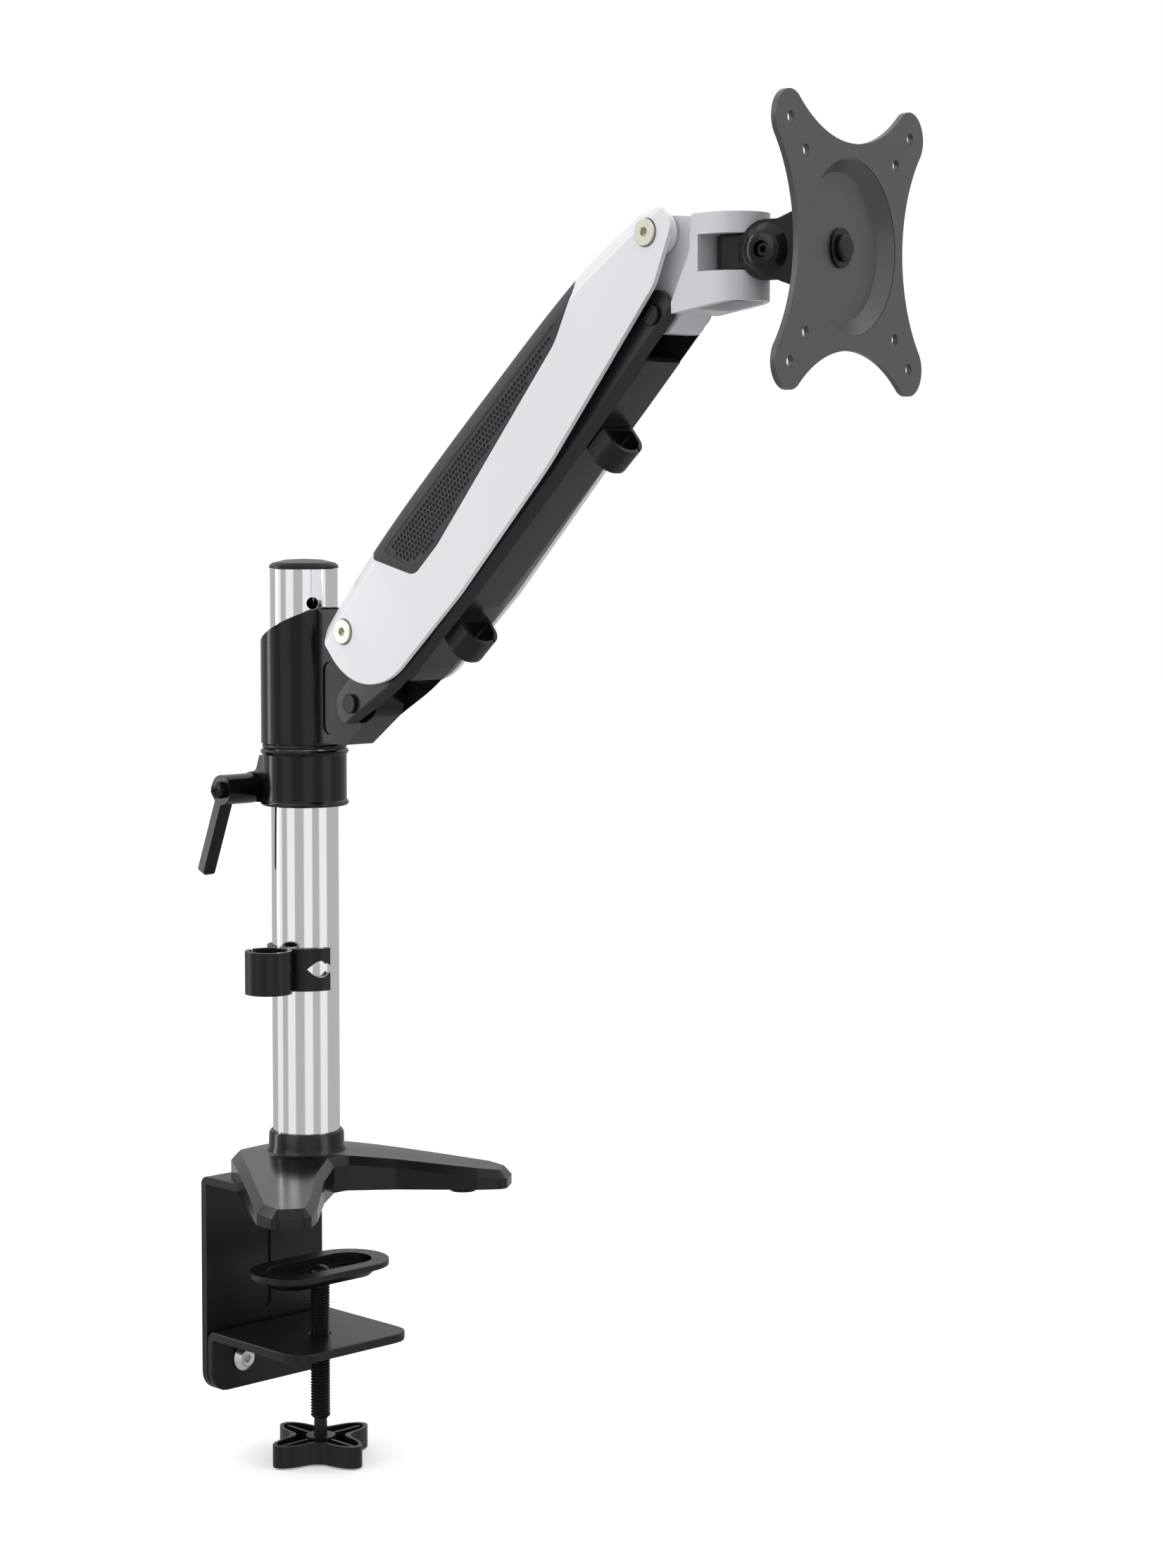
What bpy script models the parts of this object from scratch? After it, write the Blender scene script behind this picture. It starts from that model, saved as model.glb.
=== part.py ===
"""Gas-spring monitor arm on a pole with a desk clamp.  Metres, +Z up.

The origin is on the pole's axis, on the desk's top surface.  +X runs from the pole along the arm to
the screen, and the desk's rear edge is parallel to Y behind the pole.
"""
import math

import bmesh
import bpy
from mathutils import Matrix, Vector

# ---------------------------------------------------------------- driving dimensions (metres)
GAP = 0.0003                      # clearance between neighbouring pieces
ROUND = 28                        # facets round a large turned piece
FINE = 14                         # facets round a small one

POLE_RADIUS = 0.0170
POLE_WALL = 0.0020
POLE_TOP = 0.3145
SLEEVE_RADIUS = 0.0219
SLEEVE_BOTTOM = 0.2270
SLEEVE_LOW_TOP = 0.2740
SLEEVE_HIGH_TOP = 0.2956
LUG_RADIUS = 0.0098
TONGUE_HALF = 0.0088
AXLE_BOSS_RADIUS = 0.0098
AXLE_BOSS_FACE = 0.0100                         # the bosses' inner faces, either side of the bracket's tongue
PIN_BORE = 0.0033                               # for the gas spring's 6 mm pins

SHOULDER = Vector((0.0544, 0.0, 0.2848))       # lower pivot of the upper arm
LINK_OFFSET = Vector((-0.0017, 0.0, -0.0355))  # from an arm pivot down to its link pivot
ARM_LENGTH = 0.2737                            # between the two pivots of the arm and of the link
ARM_LIFT = math.radians(41.3)                  # arm above the horizontal at rest
ARM_HALF = 0.0202
ARM_WALL = 0.0025
ARM_FLAT_HALF = 0.0150                         # half of the arm's flat top
ARM_SHOULDER = 0.0073                          # height of the slanted band below the flat top
LINK_HALF = 0.0140
LINK_WALL = 0.0028
LINK_TOP = 0.0098
PIVOT_RADIUS = 0.0050
LINK_PIN_RADIUS = 0.0035

HEAD_REACH = 0.0350                            # from the arm's head pivot to the swivel axis
HEAD_RADIUS = 0.0150
HEAD_TOP = 0.0070
HEAD_BOTTOM = -0.0310
WINDOW_CENTRE = -0.0102                        # height of the swivel tongue below the head pivot
WINDOW_HEIGHT = 0.0160
HEAD_YAW = math.radians(10.6)
TILT_REACH = 0.0224                            # from the swivel axis to the tilt axis
PLATE_REACH = 0.0582                           # from the swivel axis to the front of the screen plate

VESA_LARGE = 0.100
VESA_SMALL = 0.075
VESA_HOLE = 0.0026                             # radius, for M4 screws
PLATE_THICK = 0.0025
PLATE_LOBE = 0.0116
DISH_DEPTH = 0.0060
DISH_RADIUS = 0.0385
DISH_FLOOR = 0.0320

BASE_UNDER = 0.0015
BASE_TOP = 0.0190
BASE_TIP_TOP = 0.0100
SOCKET_TOP = 0.0300
CLAMP_WIDTH = 0.0765
CLAMP_BACK = -0.0380
CLAMP_PLATE = 0.0040
CLAMP_FOOT = -0.1055
JAW_TOP = -0.0738
JAW_FRONT = 0.0390
SCREW_X = 0.0100
SCREW_RADIUS = 0.0050
PAD_TOP = -0.0380
KNOB_TOP = -0.1260
KNOB_HEIGHT = 0.0110

COLLAR_BOTTOM = 0.1955
COLLAR_TOP = 0.2240
COLLAR_RADIUS = 0.0212
LEVER_POINT = Vector((-0.0270, 0.0, 0.2030))   # on the clamp bolt's axis, which runs along Y
CLIP_BOTTOM = 0.1030
CLIP_HEIGHT = 0.0215
CLIP_YAW = math.radians(-78.0)



# ---------------------------------------------------------------- scene, materials, frames
def clear_scene():
    for item in list(bpy.data.objects):
        bpy.data.objects.remove(item, do_unlink=True)


def make_collection(name):
    collection = bpy.data.collections.new(name)
    bpy.context.scene.collection.children.link(collection)
    return collection


def make_material(name, colour, roughness, metallic=0.0):
    material = bpy.data.materials.new(name)
    material.use_nodes = True
    shader = material.node_tree.nodes["Principled BSDF"]
    shader.inputs["Base Color"].default_value = (*colour, 1.0)
    shader.inputs["Roughness"].default_value = roughness
    shader.inputs["Metallic"].default_value = metallic
    material.diffuse_color = (*colour, 1.0)
    return material


def add_frame(name, parent, location, turn=0.0, axis="Z"):
    """An empty on a joint's axis, which carries the pieces that move with it."""
    empty = bpy.data.objects.new(name, None)
    empty.empty_display_size = 0.01
    PARTS.objects.link(empty)
    empty.parent = parent
    empty.matrix_basis = Matrix.Translation(location) @ Matrix.Rotation(turn, 4, axis)
    return empty


def add_part(name, mesh, material, parent=None, place=Matrix()):
    mesh.name = name
    mesh.materials.clear()
    mesh.materials.append(material)
    mesh.shade_smooth()
    mesh.set_sharp_from_angle(angle=math.radians(35))
    piece = bpy.data.objects.new(name, mesh)
    PARTS.objects.link(piece)
    piece.parent = parent
    piece.matrix_basis = place
    return piece


# ---------------------------------------------------------------- shape tools, all giving a mesh
def temporary(data):
    item = bpy.data.objects.new("tool", data)
    item.hide_render = True
    item.display_type = "WIRE"
    CUTTERS.objects.link(item)
    return item


def baked(item):
    """The evaluated mesh of a temporary object, with loose caps welded."""
    graph = bpy.context.evaluated_depsgraph_get()
    mesh = bpy.data.meshes.new_from_object(item.evaluated_get(graph))
    bpy.data.objects.remove(item, do_unlink=True)
    cage = bmesh.new()
    cage.from_mesh(mesh)
    bmesh.ops.remove_doubles(cage, verts=cage.verts, dist=0.000005)
    bmesh.ops.recalc_face_normals(cage, faces=cage.faces)
    cage.to_mesh(mesh)
    cage.free()
    return mesh


def flattened(mesh):
    """Merges the triangles of each flat cap into one face."""
    cage = bmesh.new()
    cage.from_mesh(mesh)
    bmesh.ops.dissolve_limit(cage, angle_limit=0.0005, verts=cage.verts, edges=cage.edges)
    cage.to_mesh(mesh)
    cage.free()
    return mesh


def box(low, high):
    cage = bmesh.new()
    bmesh.ops.create_cube(cage, size=1.0)
    size = Vector(high) - Vector(low)
    middle = (Vector(high) + Vector(low)) / 2
    bmesh.ops.transform(cage, matrix=Matrix.Translation(middle) @ Matrix.Diagonal((*size, 1)), verts=cage.verts)
    mesh = bpy.data.meshes.new("box")
    cage.to_mesh(mesh)
    cage.free()
    return mesh


def cylinder(radius, low, high, facets=FINE, top_radius=None, axis="Z", centre=(0, 0, 0)):
    """A cylinder or cone from low to high along an axis through centre."""
    cage = bmesh.new()
    end = radius if top_radius is None else top_radius
    bmesh.ops.create_cone(cage, cap_ends=True, segments=facets, radius1=radius, radius2=end, depth=high - low)
    turn = {"Z": Matrix(), "Y": Matrix.Rotation(-math.pi / 2, 4, "X"), "X": Matrix.Rotation(math.pi / 2, 4, "Y")}
    place = Matrix.Translation(centre) @ turn[axis] @ Matrix.Translation((0, 0, (low + high) / 2))
    bmesh.ops.transform(cage, matrix=place, verts=cage.verts)
    mesh = bpy.data.meshes.new("cylinder")
    cage.to_mesh(mesh)
    cage.free()
    return mesh


def lofted(rings):
    """A solid skinned over cross-sections that have the same number of points."""
    cage = bmesh.new()
    loops = [[cage.verts.new(point) for point in ring] for ring in rings]
    count = len(loops[0])
    for first, second in zip(loops, loops[1:]):
        for k in range(count):
            after = (k + 1) % count
            cage.faces.new((first[k], first[after], second[after], second[k]))
    cage.faces.new(loops[0])
    cage.faces.new(loops[-1])
    bmesh.ops.recalc_face_normals(cage, faces=cage.faces)
    mesh = bpy.data.meshes.new("loft")
    cage.to_mesh(mesh)
    cage.free()
    return mesh


def turned(profile, facets=ROUND, closed=False):
    """A solid of revolution about Z from (radius, height) points, outer side top to bottom."""
    mesh = bpy.data.meshes.new("profile")
    count = len(profile)
    edges = [(i, i + 1) for i in range(count - 1)]
    if closed:
        edges.append((count - 1, 0))
    mesh.from_pydata([(radius, 0, height) for radius, height in profile], edges, [])
    item = temporary(mesh)
    screw = item.modifiers.new("Screw", "SCREW")
    screw.steps = facets
    screw.render_steps = facets
    screw.use_merge_vertices = True
    screw.merge_threshold = 0.00001
    return baked(item)


def rounded(corners, step=math.radians(18)):
    """Points of an outline from (x, y, radius) corners, each round as a true arc."""
    points = []
    count = len(corners)
    for i, (x, y, radius) in enumerate(corners):
        here = Vector((x, y))
        before = (Vector(corners[i - 1][:2]) - here).normalized()
        after = (Vector(corners[(i + 1) % count][:2]) - here).normalized()
        if radius <= 0:
            points.append(here)
            continue
        half = before.angle(after) / 2
        centre = here + (before + after).normalized() * (radius / math.sin(half))
        first = here + before * (radius / math.tan(half)) - centre
        sweep = math.pi - 2 * half
        if before.x * after.y - before.y * after.x > 0:
            sweep = -sweep
        pieces = max(2, round(abs(sweep) / step))
        for k in range(pieces + 1):
            points.append(centre + Matrix.Rotation(sweep * k / pieces, 2) @ first)
    return points


def prism(points, low, high, upright=False, holes=()):
    """A flat outline made thick: along Z from low to high, or for an upright one along Y."""
    curve = bpy.data.curves.new("outline", "CURVE")
    curve.dimensions = "2D"
    curve.fill_mode = "BOTH"
    curve.extrude = (high - low) / 2
    for loop in (points, *holes):
        spline = curve.splines.new("POLY")
        spline.points.add(len(loop) - 1)
        for target, point in zip(spline.points, loop):
            target.co = (point[0], point[1], 0, 1)
        spline.use_cyclic_u = True
    mesh = flattened(baked(temporary(curve)))
    mesh.transform(Matrix.Translation((0, 0, (low + high) / 2)))
    if upright:
        # the outline's second coordinate becomes height, and its thickness runs along Y
        mesh.transform(Matrix(((1, 0, 0, 0), (0, 0, 1, 0), (0, 1, 0, 0), (0, 0, 0, 1))))
        mesh.flip_normals()
    return mesh


def combined(mesh, others, operation):
    for other in others:
        item = temporary(mesh)
        tool = temporary(other)
        boolean = item.modifiers.new("Boolean", "BOOLEAN")
        boolean.operation = operation
        boolean.object = tool
        mesh = baked(item)
        bpy.data.objects.remove(tool, do_unlink=True)
    return mesh


def cut(mesh, *others):
    return combined(mesh, others, "DIFFERENCE")


def join(mesh, *others):
    return combined(mesh, others, "UNION")


def common(mesh, *others):
    return combined(mesh, others, "INTERSECT")


def moved(mesh, offset=(0, 0, 0), turn=0.0, axis="Z"):
    mesh.transform(Matrix.Translation(offset) @ Matrix.Rotation(turn, 4, axis))
    return mesh


def bevelled(mesh, width, chosen, segments=1):
    """Bevels the edges for which chosen(edge) is true."""
    cage = bmesh.new()
    cage.from_mesh(mesh)
    cage.normal_update()
    edges = [edge for edge in cage.edges if len(edge.link_faces) == 2 and chosen(edge)]
    bmesh.ops.bevel(cage, geom=edges, offset=width, segments=segments, profile=0.5, affect="EDGES")
    cage.to_mesh(mesh)
    cage.free()
    return mesh


def softened(mesh, width, segments=1):
    """All sharp edges bevelled."""
    item = temporary(mesh)
    bevel = item.modifiers.new("Bevel", "BEVEL")
    bevel.width = width
    bevel.segments = segments
    bevel.limit_method = "ANGLE"
    bevel.angle_limit = math.radians(50)
    return baked(item)


def rim(edge):
    """True for the edge between an upward face and an upright wall."""
    heights = sorted(face.normal.z for face in edge.link_faces)
    return abs(heights[0]) < 0.2 and heights[1] > 0.9


def lengthwise(edge):
    """True for an edge that runs along X."""
    return abs(edge.verts[0].co.x - edge.verts[1].co.x) > 0.0001


def lowest(edge, height):
    return all(vert.co.z < height + 0.0001 for vert in edge.verts)


def facing_x(mesh):
    """Turns a flat shape drawn in X and Y so that it faces X: X becomes height and Z becomes X."""
    mesh.transform(Matrix(((0, 0, 1, 0), (0, 1, 0, 0), (-1, 0, 0, 0), (0, 0, 0, 1))))
    return mesh


def circle(radius, centre, facets=FINE):
    angles = [0.2 + 2 * math.pi * k / facets for k in range(facets)]
    return [Vector((centre[0] + radius * math.cos(a), centre[1] + radius * math.sin(a))) for a in angles]


def stadium(length, width, step=math.radians(15)):
    """Outline with round ends, its length along Y."""
    x, y = width / 2, length / 2
    return rounded([(x, -y, x), (x, y, x), (-x, y, x), (-x, -y, x)], step)


def upright_slot(length, width):
    """Stadium outline with its length along X, for facing_x to stand up."""
    x, y = length / 2, width / 2
    return rounded([(-x, -y, y), (x, -y, y), (x, y, y), (-x, y, y)], math.radians(30))


def button_screw(head_radius, head_height, shank_radius, length, socket):
    """Socket screw along -Z with its head above z = 0."""
    profile = [(0, head_height), (head_radius * 0.62, head_height), (head_radius, head_height * 0.35),
               (head_radius, 0), (shank_radius, 0), (shank_radius, -length), (0, -length)]
    return cut(turned(profile, FINE), cylinder(socket, head_height * 0.35, head_height + 0.001, 6))


# ---------------------------------------------------------------- desk base and clamp
def base_outline(inset=0.0):
    """Plan of the casting: two legs at 45 degrees to the front, a straight back edge."""
    half = [(0.0265 - inset, 0.0040, 0), (0.0420 - inset, 0.0235, 0.006), (0.0715 - inset, 0.0525, 0.004),
            (0.0800 - inset, 0.0640, 0.006), (0.0700, 0.0780 - inset, 0.006), (0.0560, 0.0775 - inset, 0.004),
            (-0.0290 + inset, 0.0260 - inset, 0.003), (-0.0335 + inset, 0.0200, 0.002)]
    return half + [(x, -y, radius) for x, y, radius in reversed(half)]


def make_base():
    casting = prism(rounded(base_outline()), BASE_UNDER, 0.030)
    slope = turned([(0, BASE_TOP), (0.022, BASE_TOP), (0.105, BASE_TIP_TOP), (0.130, BASE_TIP_TOP - 0.0027),
                    (0.130, -0.010), (0, -0.010)], 48)
    casting = common(casting, slope)
    casting = bevelled(casting, 0.0038, rim)
    socket = turned([(0, SOCKET_TOP), (0.0182, SOCKET_TOP), (0.0190, SOCKET_TOP - 0.0012),
                     (0.0192, BASE_TOP + 0.0035), (0.0205, BASE_TOP + 0.0008), (0.0240, BASE_TOP - 0.0012),
                     (0.0240, 0.0100), (0, 0.0100)])
    casting = join(casting, socket)
    bore = cylinder(POLE_RADIUS + GAP, 0.0095, 0.040, ROUND)
    foot_hole = cylinder(0.0044, -0.001, 0.020)
    foot_head = cylinder(0.0075, -0.001, 0.0055)
    half = CLAMP_WIDTH / 2 + 0.0005
    flange = box((-0.0500, -half, -0.001), (0.0170, half, 0.0060))
    screws = [cylinder(0.0026, 0.001, 0.0150, centre=(-0.0200, side, 0)) for side in (-0.0150, 0.0150)]
    return cut(casting, bore, foot_hole, foot_head, flange, *screws)


def make_back_plate():
    """Inverted L of 4 mm steel: a flange under the casting and a web down the desk's edge."""
    half = CLAMP_WIDTH / 2
    inner = CLAMP_BACK + CLAMP_PLATE
    section = rounded([(CLAMP_BACK, 0.0057, 0.0045), (0.0160, 0.0057, 0), (0.0160, 0.0017, 0),
                       (inner, 0.0017, 0.0010), (inner, CLAMP_FOOT, 0), (CLAMP_BACK, CLAMP_FOOT, 0)])
    plate = prism(section, -half, half, upright=True)
    plate = bevelled(plate, 0.0100, lambda edge: lengthwise(edge) and lowest(edge, CLAMP_FOOT), 5)
    rib = prism(upright_slot(0.0600, 0.0110), CLAMP_BACK - 0.0010, CLAMP_BACK + 0.0010)
    groove = prism(upright_slot(0.0560, 0.0070), CLAMP_BACK + CLAMP_PLATE - 0.0010, 0.0)
    rib, groove = (moved(facing_x(shape), offset=(0, 0, -0.0400)) for shape in (rib, groove))
    plate = cut(join(plate, rib), groove)
    foot = cylinder(0.0078, -0.001, 0.0080)
    tapped = [cylinder(0.0035, -0.050, 0.0, axis="X", centre=(0, side, -0.0900)) for side in (-0.0185, 0.0185)]
    sunk = [cylinder(0.0048, 0.0010, 0.0080, top_radius=0.0024, centre=(-0.0200, side, 0))
            for side in (-0.0150, 0.0150)]
    return cut(plate, foot, *tapped, *sunk)


def make_jaw():
    """Steel L bolted to the back plate, with the tapped shelf for the clamp screw."""
    half = CLAMP_WIDTH / 2
    back = CLAMP_BACK + CLAMP_PLATE + GAP
    inner = back + CLAMP_PLATE
    section = rounded([(back, JAW_TOP, 0.0052), (JAW_FRONT, JAW_TOP, 0), (JAW_FRONT, JAW_TOP - 0.0045, 0),
                       (inner, JAW_TOP - 0.0045, 0.0015), (inner, CLAMP_FOOT, 0), (back, CLAMP_FOOT, 0)])
    jaw = prism(section, -half, half, upright=True)
    jaw = bevelled(jaw, 0.0100, lambda edge: lengthwise(edge) and lowest(edge, CLAMP_FOOT), 5)
    jaw = bevelled(jaw, 0.0120, lambda edge: all(vert.co.x > JAW_FRONT - 0.0001 for vert in edge.verts)
                   and abs(edge.verts[0].co.y - edge.verts[1].co.y) < 0.0001, 5)
    bolts = [cylinder(0.0042, -0.040, 0.0, axis="X", centre=(0, side, -0.0900)) for side in (-0.0185, 0.0185)]
    return cut(jaw, cylinder(SCREW_RADIUS + GAP, -0.100, -0.050, centre=(SCREW_X, 0, 0)), *bolts)


def make_clamp_screw():
    """Threaded rod with a ball at the top and a plain shank for the knob."""
    thread_top, thread_end = PAD_TOP - 0.0095, -0.1165
    profile = [(0, PAD_TOP - 0.0005), (0.0030, PAD_TOP - 0.0010), (0.0055, PAD_TOP - 0.0035),
               (0.0055, PAD_TOP - 0.0046), (0.0032, PAD_TOP - 0.0054), (0.0032, thread_top), (0.0042, thread_top),
               (SCREW_RADIUS, thread_top - 0.001), (SCREW_RADIUS, thread_end + 0.001), (0.0042, thread_end),
               (0.0033, thread_end), (0.0033, KNOB_TOP - 0.0090), (0, KNOB_TOP - 0.0090)]
    return turned(profile, FINE)


def make_pressure_plate():
    """Dished stadium plate that the screw's ball pushes up."""
    flange = prism(stadium(0.0790, 0.0430), PAD_TOP - 0.0030, PAD_TOP)
    bowl = prism(stadium(0.0660, 0.0300), PAD_TOP - 0.0080, PAD_TOP - 0.0015)
    bowl = bevelled(bowl, 0.0030, lambda edge: sorted(face.normal.z for face in edge.link_faces)[0] < -0.9
                    and sorted(face.normal.z for face in edge.link_faces)[1] > -0.2)
    plate = join(flange, bowl)
    hollow = prism(stadium(0.0610, 0.0250), PAD_TOP - 0.0057, PAD_TOP + 0.001)
    return cut(plate, hollow, cylinder(0.0036, PAD_TOP - 0.010, PAD_TOP))


def knob_outline(lobe, valley, count=4, facets=48):
    points = []
    for k in range(facets):
        angle = 2 * math.pi * k / facets
        wave = (0.5 + 0.5 * math.cos(count * angle)) ** 1.6
        radius = valley + (lobe - valley) * wave
        points.append(Vector((radius * math.cos(angle), radius * math.sin(angle))))
    return points


def make_knob():
    low = KNOB_TOP - KNOB_HEIGHT
    body = prism(knob_outline(0.0300, 0.0155), low, KNOB_TOP)
    hollow = prism(knob_outline(0.0275, 0.0125), low + 0.0030, KNOB_TOP + 0.001)
    ribs = [moved(box((-0.0290, -0.0008, low + 0.002), (0.0290, 0.0008, KNOB_TOP - 0.0006)), turn=angle)
            for angle in (0.0, math.pi / 2)]
    hub = cylinder(0.0075, low + 0.001, KNOB_TOP)
    inside = join(hub, *ribs)
    body = join(cut(body, hollow), common(inside, prism(knob_outline(0.0285, 0.0140), low + 0.001, KNOB_TOP)))
    return cut(body, cylinder(0.0036, KNOB_TOP - 0.0095, KNOB_TOP + 0.001))


# ---------------------------------------------------------------- pole, collar, clip
def make_pole():
    inner = POLE_RADIUS - POLE_WALL
    foot = 0.0100
    tube = turned([(inner, POLE_TOP), (POLE_RADIUS, POLE_TOP), (POLE_RADIUS, foot), (0, foot), (0, foot + 0.006),
                   (inner, foot + 0.006)], closed=True)
    cable_hole = cylinder(0.0030, 0.0, 0.030, axis="X", centre=(0, 0, 0.2975))
    cable_hole.transform(Matrix.Rotation(math.radians(-25), 4, "Z"))
    return cut(tube, cable_hole, cylinder(0.0041, 0.0, foot + 0.010))


def make_pole_cap():
    inner = POLE_RADIUS - POLE_WALL - GAP
    return turned([(0, POLE_TOP + 0.0050), (0.0090, POLE_TOP + 0.0046), (0.0160, POLE_TOP + 0.0030),
                   (0.0174, POLE_TOP + 0.0015), (0.0174, POLE_TOP + GAP), (inner, POLE_TOP + GAP),
                   (inner - 0.0004, POLE_TOP - 0.010), (0, POLE_TOP - 0.010)])


def make_collar():
    """Split clamp collar with two lugs behind the pole for the clamp bolt."""
    lip = 0.0223
    profile = [(POLE_RADIUS + GAP, COLLAR_TOP), (lip - 0.0008, COLLAR_TOP), (lip, COLLAR_TOP - 0.0010),
               (lip - 0.0004, COLLAR_TOP - 0.0022), (COLLAR_RADIUS, COLLAR_TOP - 0.0028),
               (COLLAR_RADIUS, COLLAR_BOTTOM + 0.0028), (lip - 0.0004, COLLAR_BOTTOM + 0.0022),
               (lip, COLLAR_BOTTOM + 0.0010), (lip - 0.0008, COLLAR_BOTTOM), (POLE_RADIUS + GAP, COLLAR_BOTTOM)]
    collar = turned(profile, closed=True)
    low, high = LEVER_POINT.z - 0.0070, LEVER_POINT.z + 0.0070
    lug_side = rounded([(-0.0345, low, 0.006), (-0.0170, low, 0), (-0.0170, high + 0.0100, 0),
                        (-0.0210, high + 0.0100, 0), (-0.0240, high + 0.0020, 0.003), (-0.0345, high, 0.006)])
    lugs = prism(lug_side, -0.0125, 0.0125, upright=True)
    lugs = cut(lugs, cylinder(POLE_RADIUS + 0.001, 0.150, 0.250, ROUND))
    collar = join(collar, lugs)
    slit = box((-0.0400, -0.0010, COLLAR_BOTTOM - 0.001), (-0.0100, 0.0010, COLLAR_TOP + 0.001))
    bolt = cylinder(0.0034, -0.040, 0.040, axis="Y", centre=LEVER_POINT)
    return cut(collar, slit, bolt)


def make_lever():
    """Hub round the bolt's end with a bar hanging from it, built about the bolt's axis."""
    hub = cylinder(0.0076, -0.0325, -0.0130, 24, axis="Y")
    swing = math.radians(22)
    bar = moved(softened(box((-0.0040, -0.0325, -0.0470), (0.0040, -0.0249, 0.0)), 0.0015),
                turn=swing, axis="Y")
    lever = join(hub, bar)
    return cut(lever, cylinder(0.0034, -0.0180, -0.0100, axis="Y"), cylinder(0.0024, -0.040, -0.0100, axis="Y"))


def make_lever_screw():
    """Pan-head screw with a crossed recess, in the end of the lever's hub."""
    screw = turned([(0, 0.0045), (0.0028, 0.0042), (0.0041, 0.0032), (0.0043, 0.0003), (0.0020, 0.0003),
                    (0.0020, -0.0090), (0, -0.0090)], FINE)
    arms = [moved(box((-0.0026, -0.0004, 0.0026), (0.0026, 0.0004, 0.0060)), turn=angle)
            for angle in (0.4, 0.4 + math.pi / 2)]
    return cut(screw, join(*arms))


def make_pole_clip():
    """Snap-on clip: an open band round the pole with a slit cable loop beside it."""
    low, high = CLIP_BOTTOM, CLIP_BOTTOM + CLIP_HEIGHT
    band_inner, band_outer = POLE_RADIUS + GAP, 0.0195
    band = cut(cylinder(band_outer, low, high, ROUND), cylinder(band_inner, low - 0.001, high + 0.001, ROUND))
    mouth = prism([(0, 0), (-0.050, 0.034), (-0.050, -0.050), (-0.034, -0.050)], low - 0.001, high + 0.001)
    mouth = moved(mouth, turn=math.radians(-68))
    band = cut(band, mouth)
    reach = 0.0298
    loop = cylinder(0.0118, low, high, 24, centre=(reach, 0, 0))
    hollow = cylinder(0.0095, low - 0.001, high + 0.001, 24, centre=(reach, 0, 0))
    slit = box((reach - 0.0015, 0.0050, low - 0.001), (reach + 0.0015, 0.0150, high + 0.001))
    clip = join(band, cut(loop, cylinder(band_inner, low - 0.001, high + 0.001, ROUND)))
    clip = cut(clip, hollow, moved(slit, offset=(0, -0.0200, 0)))
    window = prism(rounded([(-0.0075, 0, 0), (0.0, 0.0058, 0.006), (0.0075, 0, 0), (0.0, -0.0058, 0.006)]),
                   0.010, 0.030)
    window.transform(Matrix.Translation((0, 0, low + 0.011)) @ Matrix.Rotation(math.radians(62), 4, "Z")
                     @ Matrix.Rotation(math.pi / 2, 4, "Y") @ Matrix.Rotation(math.pi / 2, 4, "Z"))
    return cut(clip, window)


# ---------------------------------------------------------------- swivel bracket
def make_bracket():
    """Sleeve on the pole with a tongue for the arm's and the link's lower pivots."""
    sleeve = cylinder(SLEEVE_RADIUS, SLEEVE_BOTTOM, 0.3000, ROUND)
    link = SHOULDER + LINK_OFFSET
    side = rounded([(-0.001, SLEEVE_BOTTOM + 0.0012, 0), (0.0425, SLEEVE_BOTTOM + 0.0012, 0.001),
                    (link.x + 0.0135, link.z - 0.0040, 0.009), (SHOULDER.x + 0.0105, SHOULDER.z - 0.0140, 0.008),
                    (SHOULDER.x + 0.0105, SHOULDER.z + LUG_RADIUS, LUG_RADIUS), (-0.001, SHOULDER.z + LUG_RADIUS, 0)])
    tongue = prism(side, -TONGUE_HALF, TONGUE_HALF, upright=True)
    bracket = join(sleeve, tongue)
    rise = (SLEEVE_HIGH_TOP - SLEEVE_LOW_TOP) / (2 * SLEEVE_RADIUS)
    slope = [(x, SLEEVE_LOW_TOP + rise * (x + SLEEVE_RADIUS)) for x in (-0.0400, 0.0230)]
    slope += [(0.0230, 0.3400), (-0.0400, 0.3400)]
    bore = cylinder(0.0188, 0.200, 0.320, ROUND)
    panel_outline = rounded([(0.0250, 0.2326, 0.005), (0.0405, 0.2326, 0.003), (0.0405, 0.2690, 0.003),
                             (0.0250, 0.2690, 0.005)])
    panels = [prism(panel_outline, side_y - 0.0008, side_y + 0.0008, upright=True)
              for side_y in (-TONGUE_HALF, TONGUE_HALF)]
    pivots = [cylinder(PIVOT_RADIUS + GAP, -0.02, 0.02, axis="Y", centre=SHOULDER),
              cylinder(LINK_PIN_RADIUS + GAP, -0.02, 0.02, axis="Y", centre=link)]
    throat = [(0.0290, 0.2556), (0.0800, 0.2556), (0.0800, 0.3000), (0.0620, 0.2770), (0.0560, 0.2750),
              (0.0290, 0.2750)]
    pocket = prism(throat, -0.0052, 0.0052, upright=True)
    anchor_bore = cylinder(PIN_BORE, -0.02, 0.02, axis="Y", centre=SHOULDER + ANCHOR)
    bracket = cut(bracket, prism(slope, -0.040, 0.040, upright=True), bore, *panels, *pivots, pocket, anchor_bore)
    screw_way = cylinder(0.0027, 0.2740, 0.3050, centre=(0.0330, 0, 0))
    return cut(bracket, screw_way)


def make_bushing():
    outer, inner = 0.0185, POLE_RADIUS + GAP
    top, bottom = SLEEVE_LOW_TOP - 0.0075, SLEEVE_BOTTOM + 0.0005
    return turned([(inner, top), (outer, top), (outer, bottom), (inner, bottom)], closed=True)


# ---------------------------------------------------------------- upper arm (frame on its pivot, X along it)
ARM_STATIONS = ((-0.020, 0.0117), (0.000, 0.0148), (0.040, 0.0184), (0.080, 0.0200), (0.150, 0.0204),
                (0.225, 0.0190), (0.272, 0.0125), (0.292, 0.0088))


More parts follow.
